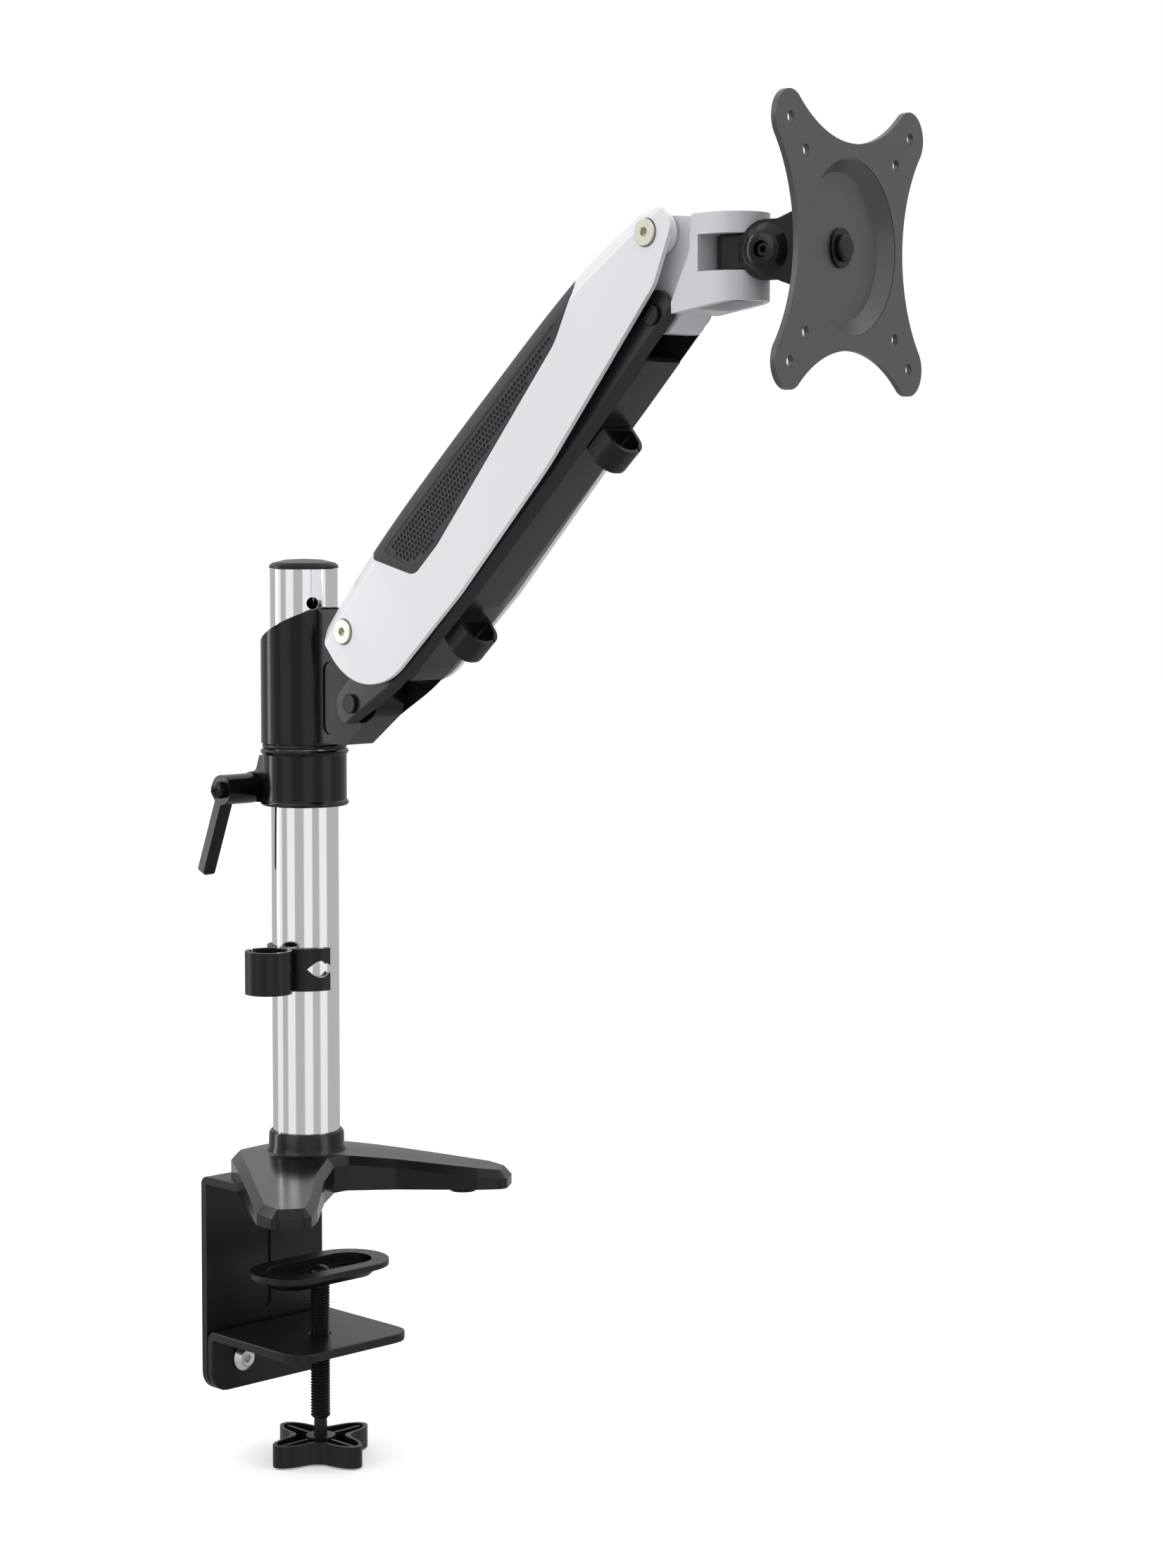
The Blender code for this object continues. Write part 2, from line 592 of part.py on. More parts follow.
def arm_outline():
    """Side view: a large round heel below the lower pivot, a slim round nose at the head."""
    return [(-0.0060, 0.0300, 0), (-0.0150, 0.0040, 0.0040), (-0.0150, -0.0395, 0.0360), (0.0750, -0.0402, 0.08),
            (0.1600, -0.0350, 0.20), (0.2620, -0.0205, 0.02), (0.2885, -0.0075, 0.006), (0.2868, 0.0024, 0.003),
            (0.2446, 0.0300, 0)]


def arm_skin(inset):
    """Loft of the arm's cross-section: upright sides, slanted shoulders, flat top."""
    rings = []
    half = ARM_HALF - inset
    flat = ARM_FLAT_HALF - inset * 0.35
    for along, top in ARM_STATIONS:
        height = top - inset
        crease = height - ARM_SHOULDER + inset * 0.3
        rings.append([(along, y, z) for y, z in ((-half, -0.060), (-half, crease), (-flat, height), (flat, height),
                                                 (half, crease), (half, -0.060))])
    return lofted(rings)


def inlay_prism(grow):
    """Side view of the textured inlay: deep near the pole, tapering to the top at the head."""
    outline = rounded([(0.0330 - grow, 0.0400, 0), (0.0400 - grow, 0.0125, 0.004),
                       (0.0580 - grow, -0.0130 - grow, 0.008), (0.0800, -0.0128 - grow, 0.01),
                       (0.2000, 0.0035 - grow, 0.03), (0.2230 + grow, 0.0130 - grow, 0.004),
                       (0.2330 + grow, 0.0400, 0)])
    return prism(outline, -0.040, 0.040, upright=True)


def make_upper_arm():
    skin = common(arm_skin(0.0), prism(rounded(arm_outline(), math.radians(12)), -0.040, 0.040, upright=True))
    pocket = cut(inlay_prism(GAP), arm_skin(0.0014))
    bosses = [cylinder(AXLE_BOSS_RADIUS, *sorted((side * AXLE_BOSS_FACE, side * 0.0260)), axis="Y",
                       centre=(along, 0, 0))
              for along in (0.0, ARM_LENGTH) for side in (-1, 1)]
    bosses += [cylinder(0.0070, *sorted((side * 0.0112, side * 0.0260)), axis="Y",
                        centre=(SPRING_ALONG, 0, SPRING_DROP)) for side in (-1, 1)]
    # the bosses are left standing where the hollow goes round them
    hollow = cut(arm_skin(ARM_WALL), *bosses)
    arm = cut(skin, pocket, hollow)
    bores = [cylinder(PIVOT_RADIUS + GAP, -0.03, 0.03, axis="Y", centre=(along, 0, 0))
             for along in (0.0, ARM_LENGTH)]
    seats = []
    for along in (0.0, ARM_LENGTH):
        for side in (-1, 1):
            low, high = sorted((side * (ARM_HALF - 0.0022), side * 0.030))
            seats.append(cylinder(0.0065, low, high, axis="Y", centre=(along, 0, 0)))
    pin = cylinder(PIN_BORE, -0.0190, 0.0190, axis="Y", centre=(SPRING_ALONG, 0, SPRING_DROP))
    half = 0.0102
    notches = [box((-0.0500, -half, -0.0600), (0.0030, half, 0.0500)),
               box((ARM_LENGTH - 0.0070, -half, -0.0600), (0.3200, half, 0.0500))]
    return cut(arm, *bores, *seats, pin, *notches)


def make_inlay():
    shell = common(arm_skin(0.0), inlay_prism(0.0))
    return cut(shell, arm_skin(0.0011))


def make_axle():
    """Pivot tube across the arm, tapped at both ends."""
    half = ARM_HALF - 0.0030
    bar = cylinder(PIVOT_RADIUS, -half, half, axis="Y")
    ends = [cylinder(0.0029, *sorted((side * (half - 0.0110), side * (half + 0.001))), axis="Y") for side in (-1, 1)]
    return cut(bar, *ends)


def make_pivot_screw():
    """Low-head socket screw along -Z; its head stands 1.2 mm out of the arm's side."""
    head = turned([(0, 0.0012), (0.0058, 0.0012), (0.0061, 0.0009), (0.0061, -0.0019), (0.0026, -0.0019),
                   (0.0026, -0.0105), (0, -0.0105)], 24)
    return cut(head, cylinder(0.0023, -0.0008, 0.0020, 6))


def make_washer(radius, bore, low, high):
    return turned([(bore, high), (radius, high), (radius, low), (bore, low)], 24, closed=True)


# ---------------------------------------------------------------- lower link (frame on its pivot)
LINK_STATIONS = ((-0.020, -0.0080), (0.002, -0.0112), (0.038, -0.0170), (0.120, -0.0161), (0.208, -0.0132),
                 (0.256, -0.0109), (0.300, -0.0085))
LINK_CHAMFER = 0.0045
LINK_WEB_HALF = 0.0105


def link_outline():
    return [(-0.0108, 0.0098, 0.0095), (-0.0108, -0.0070, 0.009), (0.0370, -0.0173, 0.012), (0.1200, -0.0166, 0.20),
            (0.2080, -0.0137, 0.20), (ARM_LENGTH + 0.0112, -0.0098, 0.0095), (ARM_LENGTH + 0.0112, LINK_TOP, 0.0095)]


def link_skin():
    """Loft of the link's cross-section: upright sides, wide chamfers down to a narrow underside."""
    rings = []
    for along, under in LINK_STATIONS:
        chamfer = under + LINK_CHAMFER
        rings.append([(along, y, z) for y, z in ((-LINK_HALF, 0.030), (-LINK_HALF, chamfer), (-LINK_WEB_HALF, under),
                                                 (LINK_WEB_HALF, under), (LINK_HALF, chamfer), (LINK_HALF, 0.030))])
    return lofted(rings)


def make_link():
    """Channel with round ends, open towards the arm, its web along the underside."""
    solid = prism(rounded(link_outline(), math.radians(15)), -0.030, 0.030, upright=True)
    solid = common(solid, link_skin())
    inner = LINK_HALF - LINK_WALL
    # open above the web, and right through between the fork's two sides at each end
    space = rounded([(-0.0300, 0.0300, 0), (-0.0300, -0.0500, 0), (0.0385, -0.0500, 0), (0.0385, -0.0143, 0),
                     (0.1200, -0.0134, 0.2), (0.2080, -0.0105, 0.2), (0.2555, -0.0081, 0), (0.2555, -0.0500, 0),
                     (0.3100, -0.0500, 0), (0.3100, 0.0300, 0)])
    link = cut(solid, prism(space, -inner, inner, upright=True))
    bores = [cylinder(LINK_PIN_RADIUS + GAP, -0.02, 0.02, axis="Y", centre=(along, 0, 0))
             for along in (0.0, ARM_LENGTH)]
    return cut(link, *bores)


def make_link_pin():
    """Pin across the link with a low round head at each side."""
    head = LINK_HALF + GAP
    profile = [(0, head + 0.0016), (0.0044, head + 0.0016), (0.0048, head + 0.0012), (0.0048, head),
               (LINK_PIN_RADIUS, head), (LINK_PIN_RADIUS, -head), (0.0048, -head), (0.0048, -head - 0.0012),
               (0.0044, -head - 0.0016), (0, -head - 0.0016)]
    return moved(turned(profile, FINE), turn=-math.pi / 2, axis="X")


def make_link_clip():
    """Strap loop that hangs from the link's web and holds cables along it."""
    outer = rounded([(-0.0095, 0.0, 0), (-0.0095, -0.0148, 0.0086), (0.0095, -0.0148, 0.0086), (0.0095, 0.0, 0)])
    inner = rounded([(-0.0078, -0.0016, 0.001), (-0.0078, -0.0131, 0.0072), (0.0078, -0.0131, 0.0072),
                     (0.0078, -0.0016, 0.001)])
    loop = prism(outer, -0.0070, 0.0070, upright=True, holes=[inner])
    loop.transform(Matrix.Rotation(math.pi / 2, 4, "Z"))
    return cut(loop, box((-0.020, 0.0040, -0.030), (0.020, 0.0052, -0.0090)))


# ---------------------------------------------------------------- gas spring (frame on its arm pin, -X to the pole)
SPRING_ALONG = 0.2120
SPRING_DROP = -0.0040
ANCHOR = Vector((0.0040, 0.0, -0.0200))        # from the shoulder pivot to the spring's lower pin
SPRING_RADIUS = 0.0085
ROD_RADIUS = 0.0040


def spring_aim():
    """Length and direction of the gas spring in the arm's own frame at rest."""
    lower = Matrix.Rotation(ARM_LIFT, 3, "Y") @ ANCHOR
    run = lower - Vector((SPRING_ALONG, 0.0, SPRING_DROP))
    return run.length, math.atan2(run.z, -run.x)


def make_spring_body():
    tube = moved(turned([(0, 0.0), (0.0060, 0.0), (SPRING_RADIUS, -0.0020), (SPRING_RADIUS, -0.1180),
                         (0.0065, -0.1200), (ROD_RADIUS + GAP, -0.1200), (ROD_RADIUS + GAP, -0.0300), (0, -0.0300)],
                        20), turn=math.pi / 2, axis="Y")
    tube = moved(tube, offset=(-0.0120, 0, 0))
    eye = join(cylinder(0.0062, -0.0045, 0.0045, axis="Y"), box((-0.0138, -0.0045, -0.0037), (0.0, 0.0045, 0.0037)))
    return cut(join(tube, eye), cylinder(0.0033, -0.01, 0.01, axis="Y"))


def make_spring_rod(length):
    """Rod whose eye is slotted across, because the modelled spring doesn't swing with its lower pin."""
    rod = cylinder(ROD_RADIUS, -(length - 0.0080), -0.0800, FINE, axis="X")
    swing = 0.0036

    def slot(radius, half):
        left, right, turn = -length - radius, -length + radius, radius * 0.999
        outline = rounded([(left, radius, turn), (left, -swing - radius, turn), (right, -swing - radius, turn),
                           (right, radius, turn)], math.radians(30))
        return prism(outline, -half, half, upright=True)

    eye = join(slot(0.0054, 0.0042), box((-length, -0.0042, -0.0040), (-length + 0.0140, 0.0042, 0.0040)))
    return cut(join(rod, eye), slot(0.0034, 0.01))


# ---------------------------------------------------------------- head
def make_head():
    """Casting that hangs on the arm and the link and carries the vertical swivel pin."""
    low, high = HEAD_BOTTOM, HEAD_TOP
    block_plan = rounded([(0.0020, -HEAD_RADIUS, 0), (HEAD_REACH + HEAD_RADIUS, -HEAD_RADIUS, HEAD_RADIUS - 0.0001),
                          (HEAD_REACH + HEAD_RADIUS, HEAD_RADIUS, HEAD_RADIUS - 0.0001), (0.0020, HEAD_RADIUS, 0)],
                         math.radians(15))
    block = prism(block_plan, -0.0400, high)
    side = rounded([(0.0224, high, 0.002), (0.0700, high, 0), (0.0700, low, 0), (0.0440, low, 0.03),
                    (0.0108, -0.0356, 0), (0.0106, -0.0306, 0.002), (0.0215, -0.0095, 0.010)])
    block = common(block, prism(side, -0.030, 0.030, upright=True))
    web_half = 0.0092
    link_x, link_z = LINK_OFFSET.x, LINK_OFFSET.z
    web_side = rounded([(-0.0088, 0.0088, 0.0086), (0.0240, 0.0060, 0.001), (0.0300, -0.0150, 0),
                        (0.0160, -0.0310, 0),
                        (link_x + 0.0070, link_z - 0.0085, 0.006), (link_x - 0.0085, link_z - 0.0085, 0.0085),
                        (link_x - 0.0085, link_z + 0.0060, 0.005), (-0.0088, -0.0100, 0.0086)])
    web = prism(web_side, -web_half, web_half, upright=True)
    head = join(block, web)
    head = softened(head, 0.0010)
    window_low = WINDOW_CENTRE - WINDOW_HEIGHT / 2
    window = box((HEAD_REACH - 0.0084, -0.0300, window_low), (0.0800, 0.0300, window_low + WINDOW_HEIGHT))
    pin = cylinder(0.0053, -0.060, 0.030, axis="Z", centre=(HEAD_REACH, 0, 0))
    sink = cylinder(0.0078, high - 0.0035, 0.030, 24, centre=(HEAD_REACH, 0, 0))
    recess = rounded([(HEAD_REACH - 0.013, -0.0110, 0.002), (HEAD_REACH + 0.010, -0.0110, 0.006),
                      (HEAD_REACH + 0.010, 0.0110, 0.006), (HEAD_REACH - 0.013, 0.0110, 0.002)])
    under = prism(recess, -0.050, low + 0.0045)
    bores = [cylinder(PIVOT_RADIUS + GAP, -0.02, 0.02, axis="Y"),
             cylinder(LINK_PIN_RADIUS + GAP, -0.02, 0.02, axis="Y", centre=LINK_OFFSET)]
    return cut(head, window, pin, sink, under, *bores)


def make_swivel_pin():
    """Shouldered pin: head in the casting's top recess, locked by a nut under it."""
    profile = [(0, HEAD_TOP - 0.0006), (0.0070, HEAD_TOP - 0.0006), (0.0074, HEAD_TOP - 0.0010),
               (0.0074, HEAD_TOP - 0.0032), (0.0050, HEAD_TOP - 0.0032), (0.0050, HEAD_BOTTOM + 0.0005),
               (0, HEAD_BOTTOM + 0.0005)]
    return cut(turned(profile, FINE), cylinder(0.0030, HEAD_TOP - 0.0030, HEAD_TOP + 0.001, 6))


def make_tongue():
    """Flat bar between the swivel pin and the tilt bolt, built about the swivel axis."""
    half_height = WINDOW_HEIGHT / 2 - 0.0008
    low, high = WINDOW_CENTRE - half_height, WINDOW_CENTRE + half_height
    plan = rounded([(-0.0078, -0.0082, 0.0077), (0.0200, -0.0082, 0), (0.0200, 0.0082, 0), (-0.0078, 0.0082, 0.0077)])
    bar = prism(plan, low, high)
    eye = cylinder(half_height, -0.0082, 0.0082, axis="Y", centre=(TILT_REACH, 0, WINDOW_CENTRE))
    bar = join(bar, eye)
    marks = []
    for side in (-0.0082, 0.0082):
        outer = moved(prism(stadium(0.0105, 0.0048), side - 0.0004, side + 0.0004), turn=math.pi / 2, axis="X")
        inner = moved(prism(stadium(0.0085, 0.0028), side - 0.0010, side + 0.0010), turn=math.pi / 2, axis="X")
        marks.append(moved(cut(outer, inner), offset=(0.0095, 0, WINDOW_CENTRE)))
    pin = cylinder(0.0053, -0.050, 0.030)
    bolt = cylinder(0.0033, -0.02, 0.02, axis="Y", centre=(TILT_REACH, 0, WINDOW_CENTRE))
    return cut(bar, pin, bolt, *marks)


def make_yoke():
    """Tilt bracket: two teardrop cheeks with raised cones, joined by a round back plate."""
    wall, inner = 0.0022, 0.0094
    reach = PLATE_REACH - TILT_REACH
    back = reach - PLATE_THICK - DISH_DEPTH - GAP
    cheek = rounded([(-0.0130, -0.0130, 0.0128), (0.0060, -0.0130, 0.004), (back - 0.0010, -0.0205, 0),
                     (back - 0.0010, 0.0205, 0), (0.0060, 0.0130, 0.004), (-0.0130, 0.0130, 0.0128)],
                    math.radians(12))
    solid = prism(cheek, -(inner + wall), inner + wall, upright=True)
    space = box((-0.0300, -inner, -0.0300), (back - 0.0035, inner, 0.0300))
    yoke = cut(solid, space)
    cones = []
    for side in (-1, 1):
        cone = turned([(0, 0.0044), (0.0056, 0.0044), (0.0070, 0.0040), (0.0084, 0.0031), (0.0100, 0.0016),
                       (0.0118, 0.0), (0, 0.0)], 24)
        cones.append(moved(cone, offset=(0, side * (inner + wall - 0.0004), 0), turn=-side * math.pi / 2, axis="X"))
    disc = cylinder(0.0220, back - 0.0030, back, 32, axis="X")
    yoke = join(yoke, *cones, disc)
    bolt = cylinder(0.0037, -0.03, 0.03, axis="Y")
    spindle = cylinder(0.0043, back - 0.010, back + 0.010, axis="X")
    return cut(yoke, bolt, spindle)


def make_tilt_bolt():
    half = 0.0136
    bar = cylinder(0.0030, -half, half, axis="Y")
    return cut(bar, cylinder(0.0016, -half - 0.001, -half + 0.003, 6, axis="Y"))


# ---------------------------------------------------------------- screen plate (frame on its spindle, X out)
def plate_outline():
    """Square with round corner lobes and sides drawn in by shallow arcs."""
    corner = VESA_LARGE / 2
    depth = 0.0437
    reach = corner - PLATE_LOBE * math.sin(math.radians(35))
    rise = corner + PLATE_LOBE * math.cos(math.radians(35)) - depth
    bow = (reach ** 2 + rise ** 2) / (2 * rise)
    points = []
    for quarter in range(4):
        turn = Matrix.Rotation(quarter * math.pi / 2, 2)
        side_angle = math.asin(reach / bow)
        for k in range(7):
            angle = -side_angle + 2 * side_angle * k / 6
            points.append(turn @ Vector((depth + bow * (1 - math.cos(angle)), bow * math.sin(angle))))
        for k in range(1, 8):
            angle = math.radians(-35 + 160 * k / 8)
            lobe = Vector((math.cos(angle), math.sin(angle))) * PLATE_LOBE
            points.append(turn @ (Vector((corner, corner)) + lobe))
    return points


def make_vesa_plate():
    """Pressed steel plate with both screw patterns and a round dish towards the arm."""
    holes = [circle(VESA_HOLE, (x * size / 2, y * size / 2), 10)
             for size in (VESA_LARGE, VESA_SMALL) for x in (-1, 1) for y in (-1, 1)]
    flat = prism(plate_outline(), -PLATE_THICK, 0.0, holes=holes)
    flat = cut(flat, cylinder(DISH_RADIUS - 0.0010, -0.010, 0.010, 36))
    dish = turned([(0.0043, -DISH_DEPTH), (DISH_FLOOR, -DISH_DEPTH), (DISH_RADIUS - 0.0014, -0.0003),
                   (DISH_RADIUS + 0.0006, -0.0003), (DISH_RADIUS + 0.0006, -PLATE_THICK + 0.0004),
                   (DISH_FLOOR + 0.0008, -DISH_DEPTH - PLATE_THICK), (0.0043, -DISH_DEPTH - PLATE_THICK)],
                  36, closed=True)
    plate = join(flat, dish)
    return moved(plate, turn=math.pi / 2, axis="Y")


def make_spindle():
    """Riveted stud that the screen plate turns on, along X."""
    floor = -DISH_DEPTH
    profile = [(0, floor + 0.0045), (0.0048, floor + 0.0042), (0.0058, floor + 0.0032), (0.0058, floor + 0.0018),
               (0.0040, floor + 0.0018), (0.0040, floor - 0.0066), (0.0062, floor - 0.0066),
               (0.0062, floor - 0.0084), (0.0050, floor - 0.0092), (0, floor - 0.0092)]
    return moved(turned(profile, 24), turn=math.pi / 2, axis="Y")


# ---------------------------------------------------------------- assembly
clear_scene()
PARTS = make_collection("monitor_arm")
CUTTERS = make_collection("cutters")
CUTTERS.hide_render = True

WHITE = make_material("white_gloss_paint", (0.83, 0.84, 0.86), 0.22)
GREY = make_material("pale_grey_casting", (0.62, 0.63, 0.66), 0.35)
BLACK = make_material("black_paint", (0.012, 0.012, 0.013), 0.28)
STEEL_BLACK = make_material("black_powder_coat", (0.020, 0.020, 0.022), 0.45)
PLATE_GREY = make_material("dark_grey_coat", (0.060, 0.060, 0.064), 0.42)
PLASTIC = make_material("black_plastic", (0.015, 0.015, 0.016), 0.40)
INLAY = make_material("textured_black_plastic", (0.022, 0.022, 0.024), 0.55)
CHROME = make_material("chrome", (0.80, 0.80, 0.80), 0.06, 1.0)
NICKEL = make_material("nickel_steel", (0.66, 0.63, 0.55), 0.30, 1.0)
SILVER = make_material("bright_zinc", (0.72, 0.72, 0.74), 0.28, 1.0)
RUBBER = make_material("rubber", (0.020, 0.020, 0.020), 0.85)
NYLON = make_material("nylon", (0.55, 0.55, 0.52), 0.50)

# fixed to the desk
add_part("desk_base", make_base(), BLACK)
for name, spot in (("base_pad_left", (0.0610, -0.0520, 0)), ("base_pad_right", (0.0610, 0.0520, 0)),
                   ("base_pad_rear", (-0.0240, 0.0, 0))):
    add_part(name, cylinder(0.0068, 0.0, 0.0012), RUBBER, place=Matrix.Translation(spot))
add_part("clamp_back_plate", make_back_plate(), STEEL_BLACK)
add_part("clamp_jaw", make_jaw(), STEEL_BLACK)
for name, side in (("jaw_screw_left", -0.0185), ("jaw_screw_right", 0.0185)):
    seat = CLAMP_BACK + 2 * CLAMP_PLATE + 2 * GAP
    place = Matrix.Translation((seat, side, -0.0900)) @ Matrix.Rotation(math.pi / 2, 4, "Y")
    add_part(name, button_screw(0.0068, 0.0038, 0.0032, 0.0070, 0.0022), SILVER, place=place)
for name, side in (("flange_screw_left", -0.0150), ("flange_screw_right", 0.0150)):
    sunk = turned([(0, 0.0120), (0.0023, 0.0120), (0.0023, 0.0056), (0.0040, 0.0022), (0.0040, 0.0018),
                   (0, 0.0018)], 16)
    sunk = cut(sunk, cylinder(0.0012, 0.001, 0.0030, 6))
    add_part(name, sunk, SILVER, place=Matrix.Translation((-0.0200, side, 0)))
foot_screw = turned([(0, 0.0170), (0.0038, 0.0170), (0.0038, 0.0051), (0.0070, 0.0051), (0.0070, 0.0022),
                     (0, 0.0022)], FINE)
add_part("pole_foot_screw", cut(foot_screw, cylinder(0.0028, 0.001, 0.0040, 6)), SILVER)
add_part("pole", make_pole(), CHROME)
add_part("pole_cap", make_pole_cap(), PLASTIC)

# clamp screw
screw_axis = add_frame("clamp_screw_axis", None, (SCREW_X, 0, 0))
add_part("pressure_plate", make_pressure_plate(), STEEL_BLACK, screw_axis)
add_part("clamp_screw", make_clamp_screw(), STEEL_BLACK, screw_axis)
add_part("clamp_knob", make_knob(), PLASTIC, screw_axis)

# on the pole
clip_axis = add_frame("pole_clip_axis", None, (0, 0, 0), CLIP_YAW)
add_part("pole_cable_clip", make_pole_clip(), PLASTIC, clip_axis)
add_part("height_collar", make_collar(), BLACK)
lever_axis = add_frame("lever_axis", None, LEVER_POINT)
add_part("clamp_lever", make_lever(), BLACK, lever_axis)
screw_place = Matrix.Translation((0, -0.0325, 0)) @ Matrix.Rotation(math.pi / 2, 4, "X")
add_part("lever_screw", make_lever_screw(), BLACK, lever_axis, screw_place)
shank = cylinder(0.0031, -0.0175, 0.0170, axis="Y")
add_part("collar_bolt", join(shank, cylinder(0.0055, 0.0128, 0.0170, 6, axis="Y")), SILVER, lever_axis)
ring = turned([(0.0175, 0.2266), (0.0210, 0.2266), (0.0214, 0.2255), (0.0210, 0.2244), (0.0175, 0.2244)], closed=True)
add_part("spacer_ring", ring, PLASTIC)

# swivel bracket
add_part("arm_bracket", make_bracket(), BLACK)
add_part("swivel_bushing", make_bushing(), NYLON)
anchor_pin = cylinder(0.0030, -0.0084, 0.0084, axis="Y")
anchor = SHOULDER + ANCHOR
tension = turned([(0, 0.2935), (0.0024, 0.2935), (0.0024, 0.2700), (0, 0.2700)], FINE)
tension = cut(tension, cylinder(0.0013, 0.2915, 0.2970, 6))
add_part("tension_screw", tension, SILVER, place=Matrix.Translation((0.0330, 0, 0)))
add_part("spring_anchor_pin", anchor_pin, SILVER, place=Matrix.Translation(anchor))

# upper arm and its pivots
arm_axis = add_frame("arm_axis", None, SHOULDER, -ARM_LIFT, "Y")
add_part("upper_arm", make_upper_arm(), WHITE, arm_axis)
add_part("arm_inlay", make_inlay(), INLAY, arm_axis)
for end, along in (("pole", 0.0), ("head", ARM_LENGTH)):
    add_part("arm_axle_" + end, make_axle(), SILVER, arm_axis, Matrix.Translation((along, 0, 0)))
    for label, side in (("near", -1), ("far", 1)):
        place = Matrix.Translation((along, side * ARM_HALF, 0)) @ Matrix.Rotation(-side * math.pi / 2, 4, "X")
        add_part("pivot_screw_" + end + "_" + label, make_pivot_screw(), NICKEL, arm_axis, place)
add_part("spring_pin", cylinder(0.0030, -0.0185, 0.0185, axis="Y"), SILVER, arm_axis,
         Matrix.Translation((SPRING_ALONG, 0, SPRING_DROP)))

# lower link
link_axis = add_frame("link_axis", None, SHOULDER + LINK_OFFSET, -ARM_LIFT, "Y")
add_part("lower_link", make_link(), BLACK, link_axis)
for end, along in (("pole", 0.0), ("head", ARM_LENGTH)):
    add_part("link_pin_" + end, make_link_pin(), BLACK, link_axis, Matrix.Translation((along, 0, 0)))
for end, along, drop in (("pole", 0.0770, -0.0170), ("head", 0.2080, -0.0137)):
    add_part("link_clip_" + end, make_link_clip(), PLASTIC, link_axis, Matrix.Translation((along, 0, drop)))

# gas spring
SPRING_LENGTH, SPRING_ANGLE = spring_aim()
spring_axis = add_frame("spring_axis", arm_axis, (SPRING_ALONG, 0, SPRING_DROP), SPRING_ANGLE, "Y")
add_part("gas_spring_body", make_spring_body(), STEEL_BLACK, spring_axis)
add_part("gas_spring_rod", make_spring_rod(SPRING_LENGTH), CHROME, spring_axis)

# head
reach = Vector((math.cos(ARM_LIFT), 0, math.sin(ARM_LIFT))) * ARM_LENGTH
head_axis = add_frame("head_axis", None, SHOULDER + reach)
add_part("head_casting", make_head(), GREY, head_axis)
swivel_axis = add_frame("head_swivel_axis", head_axis, (HEAD_REACH, 0, 0), HEAD_YAW)
add_part("swivel_pin", make_swivel_pin(), STEEL_BLACK, head_axis, Matrix.Translation((HEAD_REACH, 0, 0)))
add_part("swivel_tongue", make_tongue(), PLASTIC, swivel_axis)
tilt_axis = add_frame("tilt_axis", swivel_axis, (TILT_REACH, 0, WINDOW_CENTRE))
add_part("tilt_yoke", make_yoke(), BLACK, tilt_axis)
add_part("tilt_bolt", make_tilt_bolt(), STEEL_BLACK, tilt_axis)
for label, side in (("near", -1), ("far", 1)):
    low, high = 0.0082 + 0.0003, 0.0094 - 0.0003
    washer = make_washer(0.0068, 0.0034, low, high)
    add_part("tilt_washer_" + label, washer, NYLON, tilt_axis, Matrix.Rotation(-side * math.pi / 2, 4, "X"))

# screen plate
plate_axis = add_frame("plate_axis", tilt_axis, (PLATE_REACH - TILT_REACH, 0, 0))
add_part("vesa_plate", make_vesa_plate(), PLATE_GREY, plate_axis)
add_part("vesa_spindle", make_spindle(), STEEL_BLACK, plate_axis)
front_washer = moved(make_washer(0.0085, 0.0043, -DISH_DEPTH + 0.0003, -DISH_DEPTH + 0.0015),
                     turn=math.pi / 2, axis="Y")
add_part("vesa_washer", front_washer, STEEL_BLACK, plate_axis)

bpy.context.view_layer.update()
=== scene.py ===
"""Looks of the monitor arm: smooth, detailed pieces that stand for the faceted CAD nodes, their
materials, the studio and the camera."""
import math

import bmesh
import bpy
from mathutils import Matrix, Vector


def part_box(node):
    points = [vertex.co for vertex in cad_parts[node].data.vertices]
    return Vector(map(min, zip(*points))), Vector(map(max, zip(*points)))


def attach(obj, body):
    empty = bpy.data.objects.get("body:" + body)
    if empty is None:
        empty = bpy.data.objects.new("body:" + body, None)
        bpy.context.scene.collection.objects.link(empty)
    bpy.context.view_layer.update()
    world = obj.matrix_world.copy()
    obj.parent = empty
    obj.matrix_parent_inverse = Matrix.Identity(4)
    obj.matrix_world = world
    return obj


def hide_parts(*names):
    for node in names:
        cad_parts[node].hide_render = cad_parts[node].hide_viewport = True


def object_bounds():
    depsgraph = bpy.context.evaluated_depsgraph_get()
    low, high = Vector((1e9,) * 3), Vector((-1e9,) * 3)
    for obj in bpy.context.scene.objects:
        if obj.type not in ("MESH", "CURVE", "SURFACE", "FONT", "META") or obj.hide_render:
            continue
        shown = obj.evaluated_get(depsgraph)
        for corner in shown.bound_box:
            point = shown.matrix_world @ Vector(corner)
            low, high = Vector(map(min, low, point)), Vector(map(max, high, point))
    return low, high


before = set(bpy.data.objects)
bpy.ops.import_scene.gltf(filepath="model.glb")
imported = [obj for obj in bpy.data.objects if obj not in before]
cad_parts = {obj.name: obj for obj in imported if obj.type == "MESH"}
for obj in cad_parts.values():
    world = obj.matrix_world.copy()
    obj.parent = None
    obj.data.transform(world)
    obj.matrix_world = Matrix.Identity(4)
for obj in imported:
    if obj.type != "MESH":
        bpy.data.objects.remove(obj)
cad_low, cad_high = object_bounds()


def centre(node):
    low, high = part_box(node)
    return (Vector(low) + Vector(high)) / 2


# ---------------- driving dimensions (metres)
SHARP = math.radians(32)          # steeper edges are sharp, and get the fine bevel
GAP = 0.0003                      # clearance between neighbouring pieces
ROUND = 96                        # facets round a large turned piece
FINE = 40                         # facets round a small one

